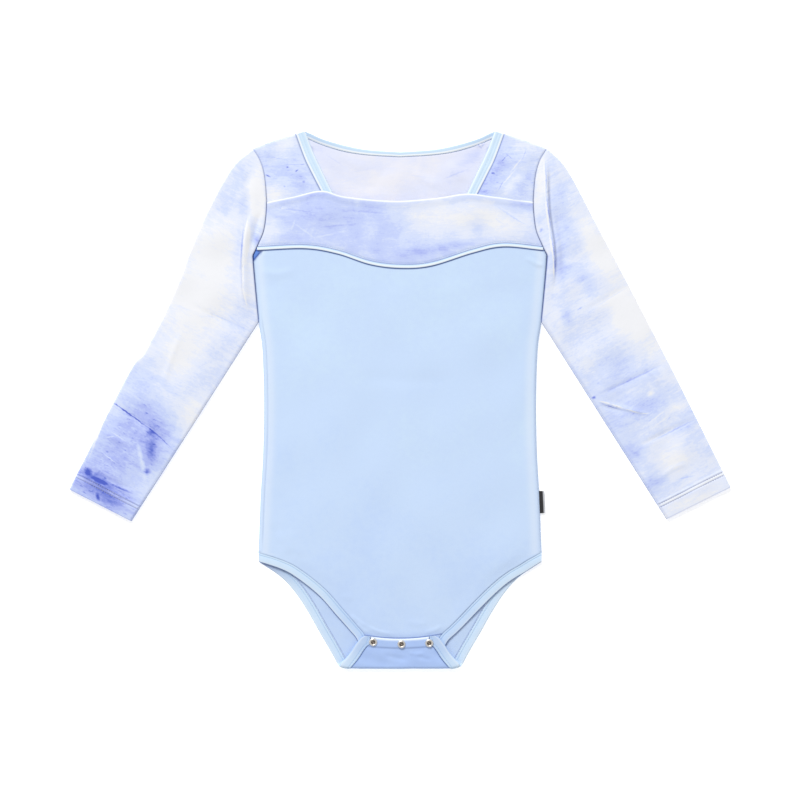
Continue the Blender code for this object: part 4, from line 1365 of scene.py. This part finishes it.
u = spread(CHEST_WIDTH, BAND_PITCH) * 2 - 1
lift = spread(BAND_HEIGHT, 0.0018, (0.0, 0.0004, 0.0009, 0.0013, 0.0017, 0.0021, 0.0028))[:, None]
low = y_at(chest, u * CHEST_SEAM[-1][0])
high = y_at(smooth_line(BAND_TOP), u * BAND_TOP[-1][0])
x = u * x_at(armhole, CHEST_SEAM[0][1] + lift * (BAND_TOP[0][1] - CHEST_SEAM[0][1]))
y = low + lift * (high - low)
bottom_gap, top_gap = y - low, high - y
side_gap = (1 - np.abs(u)) * CHEST_WIDTH / 2 + 0 * y
stitch_line = bell(bottom_gap - BAND_STITCH_GAP, 0.0005)
fold = ease((0.0065 - top_gap) / 0.002)
height = (
    CLOTH
    + BAND_FOLD_RISE * fold
    + creased(x, y, BAND_CREASES)
    + 0.00016 * (1 + swell(x, y, 0.040, 31)) * ease(bottom_gap / 0.01)
    - BAND_GROOVE_DEPTH * stitch_line
    - rolled(top_gap, 0.0013, 0.0009)
    - rolled(bottom_gap, 0.0008, 0.0006)
    - rolled(side_gap, 0.0018, 0.0010)
)
# Painted shade along the stitch line, the bottom seam and both ends; painted highlight along the folded top
# edge.
painted_shade = np.maximum(0.12 * stitch_line, 0.55 * bell(bottom_gap, 0.0006))
painted_shade = np.maximum(painted_shade, 0.45 * bell(side_gap, 0.0005))
near = np.minimum(np.minimum(top_gap, bottom_gap), side_gap)
dyed_band = dyed_jersey(
    "dyed_jersey_band", DYE_STOPS, BAND_DYE_AND_SHADE_LINES, cloud=0.66, streak=0.46, fleck=0.6, shift=0.29
)
band = shell(
    "band_cloth",
    on_band(x, y, height),
    CLOTH + BAND_FOLD_RISE * fold - thinned(near),
    stacked(x, y),
    {
        "seam": painted_shade,
        "dye_and_shade": dyed(x, y, BAND_GROUND, BAND_DYE),
        "painted_highlight": 0.9 * bell(top_gap - 0.0007, 0.0009),
    },
    [dyed_band],
)
x = np.linspace(CHEST_SEAM[0][0], CHEST_SEAM[-1][0], 120)
seam = stacked(x, y_at(chest, x))
edge = seam - (0, PIPING_WIDTH)
piping = ribbon("chest_roll", edge, seam, PIPING_PROFILE, PIPING_WALL, on_band, neck_blue)
row = seam[2:-2] + (0, BAND_STITCH_GAP)
row = on_band(*row.T, CLOTH - BAND_GROOVE_DEPTH)
band_stitches = sew("band_stitches", [row], thread_blue, 14, FINE_STITCH_PITCH)
settle(band, "dyed_jersey", "chest_band")
settle(piping, "binding_jersey", "chest_piping")


# Sleeves
# Each sleeve is one tube of the tie-dyed jersey with its seam along the underarm, pressed flat.
# It is set into the armhole, and its cuff is a turned hem with two rows of stitches.
SLEEVE_EDGE_HEIGHT = 0.0036
SLEEVE_CROWN = 0.0012
SLEEVE_FLATS = (0.035, 0.965)
SLEEVE_HEM = 0.0180
HEM_SHARE = 0.94
HEM_STITCHES = (0.0130, 0.0161)
SLEEVE_LEAN = math.radians(28)
SLEEVE_OUTER = {  # half width, y
    "left": (
        (0.1398, 0.2381), (0.1606, 0.2185), (0.1881, 0.1672), (0.2157, 0.0988), (0.2413, 0.0470),
        (0.2518, 0.0350), (0.2721, -0.0025), (0.3139, -0.0846),
    ),
    "right": (
        (0.1398, 0.2388), (0.1587, 0.2185), (0.1862, 0.1672), (0.2223, 0.0988), (0.2575, 0.0304),
        (0.2746, -0.0038), (0.3139, -0.0825),
    ),
}
CUFF_INNER = {"left": (0.2546, -0.1150), "right": (0.2527, -0.1130)}
SLEEVE_CREASES = {  # height, breadth on the outer side, on the inner side, points (half width, y)
    "left": (
        (0.0024, 0.0011, 0.0050,
         ((0.1385, 0.1830), (0.1450, 0.1660), (0.1482, 0.1406), (0.1480, 0.1045), (0.1430, 0.0830))),
        (-0.0008, 0.0040, 0.0030, ((0.1450, 0.2180), (0.1442, 0.2000), (0.1411, 0.1796))),
        (-0.0009, 0.0030, 0.0020, ((0.1320, 0.1800), (0.1370, 0.1600), (0.1420, 0.1400))),
        (-0.0007, 0.0014, 0.0014,
         ((0.2730, -0.0015), (0.2600, -0.0105), (0.2480, -0.0200), (0.2360, -0.0275), (0.2150, -0.0470))),
        (-0.0004, 0.0018, 0.0018, ((0.2050, 0.0940), (0.1750, 0.0790), (0.1400, 0.0640))),
        (0.0005, 0.0010, 0.0014, ((0.2850, -0.0280), (0.2720, -0.0370), (0.2560, -0.0430))),
        (0.0005, 0.0012, 0.0012, ((0.2620, -0.0500), (0.2560, -0.0700), (0.2470, -0.0880))),
        (0.0004, 0.0012, 0.0012, ((0.2900, -0.0450), (0.2750, -0.0560), (0.2640, -0.0590))),
        (-0.0005, 0.0016, 0.0016, ((0.2990, -0.0620), (0.2800, -0.0740), (0.2500, -0.0860))),
        (0.0004, 0.0030, 0.0030, ((0.2050, 0.0700), (0.2200, 0.0300), (0.2250, 0.0050))),
    ),
    "right": (
        (0.0024, 0.0011, 0.0060,
         ((0.1385, 0.2330), (0.1402, 0.1834), (0.1453, 0.1444), (0.1458, 0.1226), (0.1430, 0.1020))),
        (-0.0009, 0.0050, 0.0025, ((0.1470, 0.1900), (0.1530, 0.1500), (0.1560, 0.1150))),
        (-0.0006, 0.0014, 0.0014, ((0.1840, 0.0020), (0.2100, 0.0150), (0.2580, 0.0380))),
        (-0.0007, 0.0014, 0.0014, ((0.2240, -0.0450), (0.2500, -0.0320), (0.2840, -0.0160))),
        (-0.0004, 0.0018, 0.0018, ((0.1690, 0.0810), (0.1950, 0.0960), (0.2200, 0.1100))),
        (0.0014, 0.0009, 0.0009, ((0.1850, 0.0010), (0.1940, -0.0030), (0.2128, -0.0080), (0.2390, -0.0140))),
        (-0.0006, 0.0016, 0.0016, ((0.1880, -0.0030), (0.1980, -0.0075), (0.2120, -0.0115))),
        (0.0005, 0.0014, 0.0014, ((0.2330, 0.0300), (0.2420, 0.0220), (0.2440, 0.0130))),
        (0.0004, 0.0020, 0.0020, ((0.2450, -0.0750), (0.2600, -0.0640), (0.2750, -0.0600))),
        (0.0004, 0.0026, 0.0026, ((0.1750, 0.0500), (0.1900, 0.0250), (0.2000, 0.0120))),
    ),
}
# Most of these strokes are dye. Those beside each sleeve's ridge by the armhole paint its shade on the outer
# side and a highlight on the inner side.
SLEEVE_DYE_AND_SHADE = {  # half width, y, half length, half width of the stroke, turn in degrees, strength
    "left": (
        (0.1590, 0.1990, 0.0230, 0.0100, -64, 0.07),
        (0.1640, 0.1820, 0.0110, 0.0075, -20, 0.20),
        (0.1490, 0.1860, 0.0280, 0.0060, 87, 0.12),
        (0.1350, 0.1900, 0.0190, 0.0065, 87, -0.60),
        (0.1360, 0.1640, 0.0085, 0.0055, 90, 0.16),
        (0.1360, 0.1510, 0.0060, 0.0045, 90, 0.50),
        (0.1530, 0.1450, 0.0200, 0.0040, -84, 0.16),
        (0.1880, 0.1150, 0.0620, 0.0280, -66, -0.36),
        (0.2100, 0.0300, 0.0260, 0.0170, -64, -0.20),
        (0.2400, 0.0110, 0.0260, 0.0200, 26, 0.11),
        (0.2330, -0.0200, 0.0300, 0.0130, 36, 0.22),
        (0.1960, -0.0130, 0.0220, 0.0140, -60, -0.26),
        (0.2640, -0.0480, 0.0420, 0.0260, -64, 0.40),
        (0.2330, -0.0480, 0.0240, 0.0120, -70, 0.34),
        (0.2880, -0.0740, 0.0180, 0.0065, 25, 0.36),
        (0.2780, -0.0920, 0.0460, 0.0150, 27, 0.42),
    ),
    "right": (
        (0.1330, 0.2070, 0.0260, 0.0050, 86, -0.30),
        (0.1325, 0.1720, 0.0080, 0.0035, 90, 0.18),
        (0.1501, 0.2204, 0.0120, 0.0080, -45, -0.10),
        (0.1539, 0.1758, 0.0400, 0.0120, -80, 0.27),
        (0.1850, 0.1490, 0.0420, 0.0130, -62, -0.31),
        (0.1520, 0.1290, 0.0260, 0.0060, -84, 0.26),
        (0.1587, 0.0779, 0.0100, 0.0050, -75, 0.30),
        (0.1739, 0.1150, 0.0080, 0.0080, 30, 0.22),
        (0.1824, 0.1026, 0.0080, 0.0070, 30, 0.12),
        (0.2214, 0.0760, 0.0320, 0.0200, -62, -0.36),
        (0.2062, 0.0352, 0.0240, 0.0150, 26, 0.20),
        (0.2217, 0.0205, 0.0340, 0.0050, 26, 0.12),
        (0.2641, 0.0266, 0.0100, 0.0060, 26, -0.12),
        (0.2309, -0.0080, 0.0200, 0.0100, 20, 0.32),
        (0.2062, -0.0238, 0.0150, 0.0100, -60, 0.14),
        (0.2641, -0.0057, 0.0110, 0.0040, 15, -0.30),
        (0.2584, -0.0300, 0.0250, 0.0040, 27, 0.12),
        (0.2214, -0.0485, 0.0110, 0.0090, -60, 0.26),
        (0.2613, -0.0570, 0.0330, 0.0180, -62, -0.24),
        (0.2404, -0.0789, 0.0130, 0.0060, 20, 0.22),
        (0.2803, -0.0950, 0.0400, 0.0100, 26, -0.26),
    ),
}
# Many of these strokes follow creases and ridges: dark ones are painted shade in the troughs and at the outer
# foot of each ridge, light ones painted highlights along the ridges.
SLEEVE_DYE_AND_SHADE_LINES = {  # thin strokes: half width, y, half length, half width, turn in degrees, strength
    "left": (
        (0.2605, -0.0105, 0.0105, 0.0011, 37, 0.85),
        (0.2688, -0.0046, 0.0060, 0.0009, 34, 0.60),
        (0.2480, -0.0195, 0.0120, 0.0009, 37, 0.55),
        (0.2340, -0.0300, 0.0100, 0.0011, 40, 0.50),
        (0.2230, -0.0395, 0.0120, 0.0007, 44, 0.40),
        (0.2356, -0.0314, 0.0060, 0.0050, 0, 0.32),
        (0.2356, -0.0475, 0.0140, 0.0060, 90, 0.25),
        (0.2400, -0.0679, 0.0050, 0.0040, 0, 0.55),
        (0.2450, -0.0570, 0.0230, 0.0030, 78, -0.35),
        (0.2865, -0.0330, 0.0290, 0.0014, -69.5, -0.45),
        (0.2680, -0.0337, 0.0110, 0.0006, 33, -0.40),
        (0.2745, -0.0350, 0.0050, 0.0007, -8, -0.35),
        (0.2748, -0.0553, 0.0120, 0.0006, 38, -0.40),
        (0.2850, -0.0765, 0.0100, 0.0024, 24, 0.90),
        (0.2955, -0.0675, 0.0055, 0.0038, 50, 0.50),
        (0.2641, -0.0841, 0.0140, 0.0015, 24, 0.40),
        (0.2864, -0.0921, 0.0055, 0.0023, 70, 0.50),
        (0.1465, 0.1560, 0.0190, 0.0012, -83, -0.70),
        (0.1487, 0.1250, 0.0200, 0.0012, -90, -0.70),
        (0.1470, 0.0980, 0.0120, 0.0011, 77, -0.50),
        (0.1450, 0.1500, 0.0250, 0.0035, -85, -0.45),
        (0.1500, 0.1440, 0.0300, 0.0009, -86, 0.45),
        (0.1900, 0.0880, 0.0110, 0.0007, 27, 0.16),
        (0.1700, 0.0782, 0.0140, 0.0009, 25, 0.32),
        (0.1480, 0.0680, 0.0120, 0.0007, 26, 0.22),
    ),
    "right": (
        (0.1338, 0.1612, 0.0030, 0.0020, 60, 0.50),
        (0.1704, 0.0866, 0.0036, 0.0009, 30, 0.50),
        (0.2005, 0.0976, 0.0210, 0.0008, 31, 0.24),
        (0.2217, 0.0205, 0.0360, 0.0011, 26, 0.30),
        (0.2375, 0.0057, 0.0050, 0.0035, 20, -0.45),
        (0.1935, -0.0021, 0.0070, 0.0009, -13, -0.80),
        (0.2058, -0.0058, 0.0080, 0.0009, -19, -0.80),
        (0.2203, -0.0105, 0.0095, 0.0008, -17, -0.70),
        (0.2327, -0.0127, 0.0060, 0.0007, 5, -0.60),
        (0.2000, -0.0064, 0.0130, 0.0007, -17, 0.50),
        (0.1838, 0.0022, 0.0026, 0.0020, 0, 0.70),
        (0.2432, -0.0160, 0.0120, 0.0009, 38, -0.35),
        (0.2480, -0.0200, 0.0100, 0.0009, 38, -0.30),
        (0.2550, -0.0175, 0.0030, 0.0008, 45, 0.40),
        (0.2584, -0.0292, 0.0270, 0.0011, 27, 0.36),
        (0.2736, -0.0257, 0.0050, 0.0050, 0, 0.15),
        (0.2703, -0.0736, 0.0100, 0.0011, 14, 0.32),
        (0.1383, 0.2110, 0.0190, 0.0009, -89, 0.42),
        (0.1410, 0.1760, 0.0200, 0.0009, -83, 0.55),
        (0.1450, 0.1450, 0.0140, 0.0009, -81, 0.55),
        (0.1470, 0.1270, 0.0090, 0.0009, -87, 0.55),
        (0.1366, 0.2110, 0.0190, 0.0011, -89, -0.50),
        (0.1393, 0.1760, 0.0200, 0.0012, -83, -0.70),
        (0.1433, 0.1450, 0.0150, 0.0012, -81, -0.70),
        (0.1455, 0.1250, 0.0120, 0.0011, -87, -0.60),
    ),
}
SLEEVE_GROUND = 0.32
SLEEVE_LOW_GROUND = 0.08
LOW_SLEEVE_Y = 0.0500
LOW_SLEEVE_FADE = 0.0400
RIDGE_SHADE = {"left": 0.20, "right": 0.40}
HEM_PAINTED_HIGHLIGHT = {"left": 0.12, "right": 0.65}
CONTACT_SHADE = 0.45
GROOVE_SHADE = {"left": 0.40, "right": 0.27}
CUFF_EDGE_SHADE = 0.40
INNER_SEAM_GAP = 0.0019
INNER_SEAM_SHADE = 0.16
INNER_EDGE_SHADE = 0.42
RIDGE_FOOT = 0.0017
UNDERSIDE_SHIFT = 0.0300
SLEEVE_HEM_RISE = 0.0004


def past_hem(edge, share):
    """Points of a sleeve's edge, at shares where both edges reach the hem together."""
    hem = SLEEVE_HEM / lengths(edge)[-1]
    above = share / HEM_SHARE * (1 - hem)
    below = 1 - hem * (1 - share) / (1 - HEM_SHARE)
    return along(edge, np.where(share < HEM_SHARE, above, below))


def sleeve_plan(edges, across, down):
    """The places at shares across and down a sleeve, worked out from its four edges."""
    contact, outer, inner, cuff = edges
    a, d = (shares[..., None] for shares in np.broadcast_arrays(across, down))
    corners = (1 - a) * ((1 - d) * contact[0] + d * cuff[0]) + a * ((1 - d) * contact[-1] + d * cuff[1])
    ends = (1 - d) * along(contact, a[..., 0]) + d * along(cuff, a[..., 0])
    return ends + (1 - a) * past_hem(outer, d[..., 0]) + a * past_hem(inner, d[..., 0]) - corners


def sleeve_crown(across, down):
    """How far a sleeve's middle stands over its edges, less towards the cuff."""
    return SLEEVE_CROWN * (1 - np.abs(2 * across - 1) ** 3) * (1 - 0.75 * down**5)


def sleeve_flat(x, y):
    """Flat-cloth coordinates: across the sleeve, and along it."""
    c, s = math.cos(SLEEVE_LEAN), math.sin(SLEEVE_LEAN)
    return stacked(-c * x - s * y, s * x - c * y)


def sleeve_edges(name):
    """A sleeve's edges: against the body, outside, inside and at the cuff."""
    seam_side = np.vstack([side[side[:, 1] > UNDERARM_PARTING[1]], UNDERARM_PARTING])
    contact = np.vstack([armhole[:-1], seam_side]) + (SEAM_GAP, 0)
    outer = smooth_line(SLEEVE_OUTER[name])
    outer[0] = contact[0]
    inner = np.array([contact[-1], CUFF_INNER[name]])
    return contact, outer, inner, np.array([outer[-1], inner[-1]])


radius = SLEEVE_EDGE_HEIGHT / 2
turns = np.radians(np.linspace(0, 90, 7))
middle = np.linspace(*SLEEVE_FLATS, 76)
first_rows = (0, 0.0012, 0.003, 0.006, 0.010, 0.015)
above_hem = np.concatenate([first_rows, np.linspace(0.021, HEM_SHARE, 160)[:-3]])
hem_fold = np.array([20.0, 19.2, 18.6, 18.0, 17.4, 16.9, 16.5, 16.1, 15.7, 15.3, 14.8, 14.2, 13.7]) / 1000
hem_end = np.array([13.3, 13.0, 12.7, 12.3, 11.6, 10.4, 8.5, 6.5, 4.5, 2.6, 1.2, 0.5, 0.0]) / 1000
from_cuff = np.concatenate([hem_fold, hem_end])
hem_rows = 1 - from_cuff / SLEEVE_HEM * (1 - HEM_SHARE)
thread_lilac = thread_material("thread_lilac", tone(198, 203, 229))
down = np.concatenate([above_hem[above_hem < hem_rows[0] - 0.004], hem_rows])[:, None]
for name, sign in (("left", -1), ("right", 1)):
    edges = sleeve_edges(name)
    ends = [sleeve_plan(edges, np.full_like(down, share), down)[:, 0] for share in (0, 1)]
    width = np.linalg.norm(ends[0] - ends[1], axis=1)[:, None]
    rounding = radius * (1 - np.cos(turns)) / width
    over = np.hstack([rounding, np.broadcast_to(middle, (len(down), len(middle))), 1 - rounding[:, ::-1]])
    rise = np.concatenate([np.sin(turns), np.ones(len(middle)), np.sin(turns[::-1])])
    across = np.hstack([over, over[:, -2:0:-1]])
    level = np.concatenate([rise, -rise[-2:0:-1]])
    x, y = np.moveaxis(sleeve_plan(edges, across, down), -1, 0)
    contact_gap = np.abs(off_line(x, y, edges[0])[0])
    cuff_gap = np.where(down < hem_rows[0] - 0.01, 1.0, (1 - down) / (1 - HEM_SHARE) * SLEEVE_HEM) + 0 * x
    grooves = sum(bell(cuff_gap - gap, 0.00045) for gap in HEM_STITCHES)
    inner_gap = (1 - across) * width
    top = (
        sleeve_crown(across, down)
        + creased(x, y, SLEEVE_CREASES[name])
        + 0.00030 * swell(x, y, 0.034, 40 + sign) * ease(contact_gap / 0.01)
        + SLEEVE_HEM_RISE * ease((SLEEVE_HEM + 0.0006 - cuff_gap) / 0.0008)
        - GROOVE_DEPTH * grooves
    )
    z = radius + radius * level + np.where(level > 0, level, 0) ** 4 * top
    z -= rolled(contact_gap, 0.0020, 0.0009) * (level > 0)
    ridge, share = off_line(x, y, smooth_line(SLEEVE_CREASES[name][0][3], 8))
    foot = bell(ridge - RIDGE_FOOT, 0.0010) * faded(share)
    armpit = ease((ARMPIT[1] + 0.006 - y) / 0.004)
    contact_line = bell(contact_gap, 0.0005 + 0.0002 * armpit)
    upper_side = level > 0
    # Painted shade: a line along the seam against the body, darker at the armpit, at the outer foot of the
    # ridge, in the cuff's stitch grooves, along the cuff edge, along the inner seam and along the inner edge.
    painted_shade = np.maximum.reduce(
        [
            contact_line * (CONTACT_SHADE + (1 - CONTACT_SHADE) * armpit),
            RIDGE_SHADE[name] * foot * upper_side,
            GROOVE_SHADE[name] * grooves,
            CUFF_EDGE_SHADE * bell(cuff_gap, 0.0006),
            INNER_SEAM_SHADE * bell(inner_gap - INNER_SEAM_GAP, 0.0005) * upper_side,
            INNER_EDGE_SHADE * bell(inner_gap, 0.0005),
        ]
    )
    # Painted highlight on the hem between its two rows of stitches.
    between_rows = ease((cuff_gap - HEM_STITCHES[0]) / 0.0008)
    between_rows *= ease((HEM_STITCHES[1] - cuff_gap) / 0.0008)
    low = ease((LOW_SLEEVE_Y - y) / LOW_SLEEVE_FADE)
    under = np.where(level < 0, UNDERSIDE_SHIFT, 0.0)
    marks = {
        "seam": painted_shade,
        "dye_and_shade": dyed(x + under, y - under, SLEEVE_GROUND + SLEEVE_LOW_GROUND * low, SLEEVE_DYE_AND_SHADE[name]),
        "painted_highlight": HEM_PAINTED_HIGHLIGHT[name] * between_rows,
    }
    strokes = [(sign * cx, cy, *size, sign * turn, dark) for cx, cy, *size, turn, dark in SLEEVE_DYE_AND_SHADE_LINES[name]]
    cloth = dyed_jersey(f"dyed_jersey_sleeve_{name}", DYE_STOPS, strokes, shift=0.47 + 0.31 * sign)
    sleeve = shell(
        f"sleeve_cloth_{name}",
        stacked(sign * x, y, z),
        CLOTH,
        sleeve_flat(x, y),
        marks,
        [cloth],
        ring=True,
        inward=-sign,
    )
    lines = []
    for gap in HEM_STITCHES:
        row_down = np.full((1, 60), 1 - gap / SLEEVE_HEM * (1 - HEM_SHARE))
        row_across = np.linspace(*SLEEVE_FLATS, 60)[None]
        row_x, row_y = sleeve_plan(edges, row_across, row_down)[0].T
        row_z = SLEEVE_EDGE_HEIGHT + sleeve_crown(row_across, row_down)[0] + 0.0002
        lines.append(stacked(sign * row_x, row_y, row_z))
    cuff_stitches = sew(f"cuff_stitches_{name}", lines, thread_lilac, 15 + sign, FINE_STITCH_PITCH)
    settle(sleeve, "dyed_jersey", f"sleeve_{name}")


# Snaps
# Three small ring snaps close the crotch. Each cap is a polished nickel-plated ring with a darker
# socket in its middle, set through the flap's hem. Its stud sits on the front under the flap.
FLAP_TOP = 2 * FOLD_RADIUS
SNAPS = {  # x, y
    "left": (-0.0254, -0.2292),
    "middle": (0.0014, -0.2311),
    "right": (0.0276, -0.2302),
}
SNAP_RADIUS = 0.0040
SNAP_STEPS = 44
SOCKET_SHARE = 0.46
CAP_PROFILE = (  # share of the cap's radius, height over the flap
    (0.00, 0.00030), (0.16, 0.00034), (0.24, 0.00060), (0.30, 0.00062), (0.36, 0.00030),
    (0.43, 0.00028), (0.48, 0.00070), (0.54, 0.00110), (0.64, 0.00134), (0.76, 0.00138),
    (0.87, 0.00120), (0.95, 0.00084), (1.00, 0.00036), (0.98, 0.00000), (0.00, 0.00000),
)


def metal(name, colour, roughness):
    """Plated metal with fine rubbed scratches."""
    made, tree, shader = new_material(name, {"Metallic": 1.0})
    place = tree.nodes.new("ShaderNodeTexCoord").outputs["Object"]
    scratches = noise(tree, place, 1400.0, 3.0, 0.6, (1, 6, 1))
    darker = tuple(0.86 * c for c in colour[:3]) + (1,)
    rough = plus(tree, roughness, scratches, 0.14)
    fill(tree, shader, {"Base Color": mixed(tree, scratches, darker, colour), "Roughness": rough})
    return made


nickel = metal("nickel", tone(250, 245, 238), 0.30)
dark_nickel = metal("dark_nickel", tone(138, 128, 120), 0.36)
profile = np.array(CAP_PROFILE)
angles = np.linspace(0, 2 * math.pi, SNAP_STEPS, endpoint=False)
for name, (x, y) in SNAPS.items():
    middle = np.array((x, y, FLAP_TOP + FLAP_HEM_RISE))
    round_x, round_y = SNAP_RADIUS * np.cos(angles), SNAP_RADIUS * np.sin(angles)
    rings = [stacked(share * round_x, share * round_y, z) + middle for share, z in profile[1:-1]]
    points = np.concatenate([*rings, [(x, y, middle[2] + profile[k, 1]) for k in (0, -1)]])
    faces = grid_faces(len(rings), SNAP_STEPS, True)
    socket_faces = [int(profile[1 + i // SNAP_STEPS, 0] < SOCKET_SHARE) for i in range(len(faces))]
    last = (len(rings) - 1) * SNAP_STEPS
    for k in range(SNAP_STEPS):
        after = (k + 1) % SNAP_STEPS
        faces += [(k, after, len(points) - 2), (last + k, last + after, len(points) - 1)]
        socket_faces += [1, 0]
    finishes = [nickel, dark_nickel]
    cap = add_mesh(f"snap_ring_{name}", points, faces, points[:, :2], {}, finishes, socket_faces, sharp=60)
    settle(cap, "snap_metal", f"snap_cap_{name}")
    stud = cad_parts[f"snap_stud_{name}"]
    for material_slot in stud.material_slots:
        material_slot.material = nickel


# Side label
# A small blank woven label is folded to a loop, and its ends are caught in the right side seam.
LABEL_TOP_Y = -0.0864
LABEL_BOTTOM_Y = -0.1074
LABEL_REACH = 0.0058
LABEL_WALL = 0.0007
LABEL_LOOP = 0.0024
LABEL_EDGE_WIDTH = 0.0019
LABEL_GREY = tone(34, 34, 38)
LABEL_FOLD_HIGHLIGHT = tone(214, 216, 222)


def woven_label():
    """Fine satin weave, with a painted highlight along the fold."""
    made, tree, shader = new_material("woven_label", {"Roughness": 0.5, "Sheen Weight": 0.15})
    flat = add_node(tree, "ShaderNodeUVMap", uv_map="flat").outputs["UV"]
    threads = add_node(tree, "ShaderNodeTexWave", {"Vector": flat, "Scale": 420.0, "Distortion": 0.6})
    threads = threads.outputs["Fac"]
    colour = mixed(tree, attribute(tree, "fold"), LABEL_GREY, LABEL_FOLD_HIGHLIGHT)
    shade = math_node(tree, "MULTIPLY", threads, 0.25)
    bump = add_node(tree, "ShaderNodeBump", {"Strength": 0.5, "Distance": 0.00005, "Height": threads})
    colour = mixed(tree, shade, colour, (0, 0, 0, 1))
    fill(tree, shader, {"Base Color": colour, "Normal": bump.outputs["Normal"]})
    return made


radius = LABEL_LOOP / 2
turns = np.radians(np.linspace(-90, 90, 13))
y = np.linspace(LABEL_TOP_Y, LABEL_BOTTOM_Y, 24)[:, None]
root = x_at(side, y)
straight = np.linspace(0, 1, 6)[:-1]
reach = LABEL_REACH - radius
x = root + np.hstack([straight * reach, reach + radius * np.cos(turns), straight[::-1] * reach])
z = np.concatenate([0 * straight, radius + radius * np.sin(turns), LABEL_LOOP + 0 * straight])
z = z + 0 * x + 0.00012 * swell(y, y, 0.012, 60) * (z > radius)
# Painted highlight: the label's folded outer edge is painted a light grey.
fold = ease((x - root - LABEL_REACH + LABEL_EDGE_WIDTH) / 0.0004)
label_flat = np.concatenate([[0], np.cumsum(np.hypot(np.diff(x[0]), np.diff(z[0])))])
label = shell(
    "label_cloth",
    stacked(x, y, z),
    LABEL_WALL,
    stacked(label_flat, y),
    {"fold": fold},
    [woven_label()],
    inward=-1,
)
settle(label, "woven_label", "side_label")
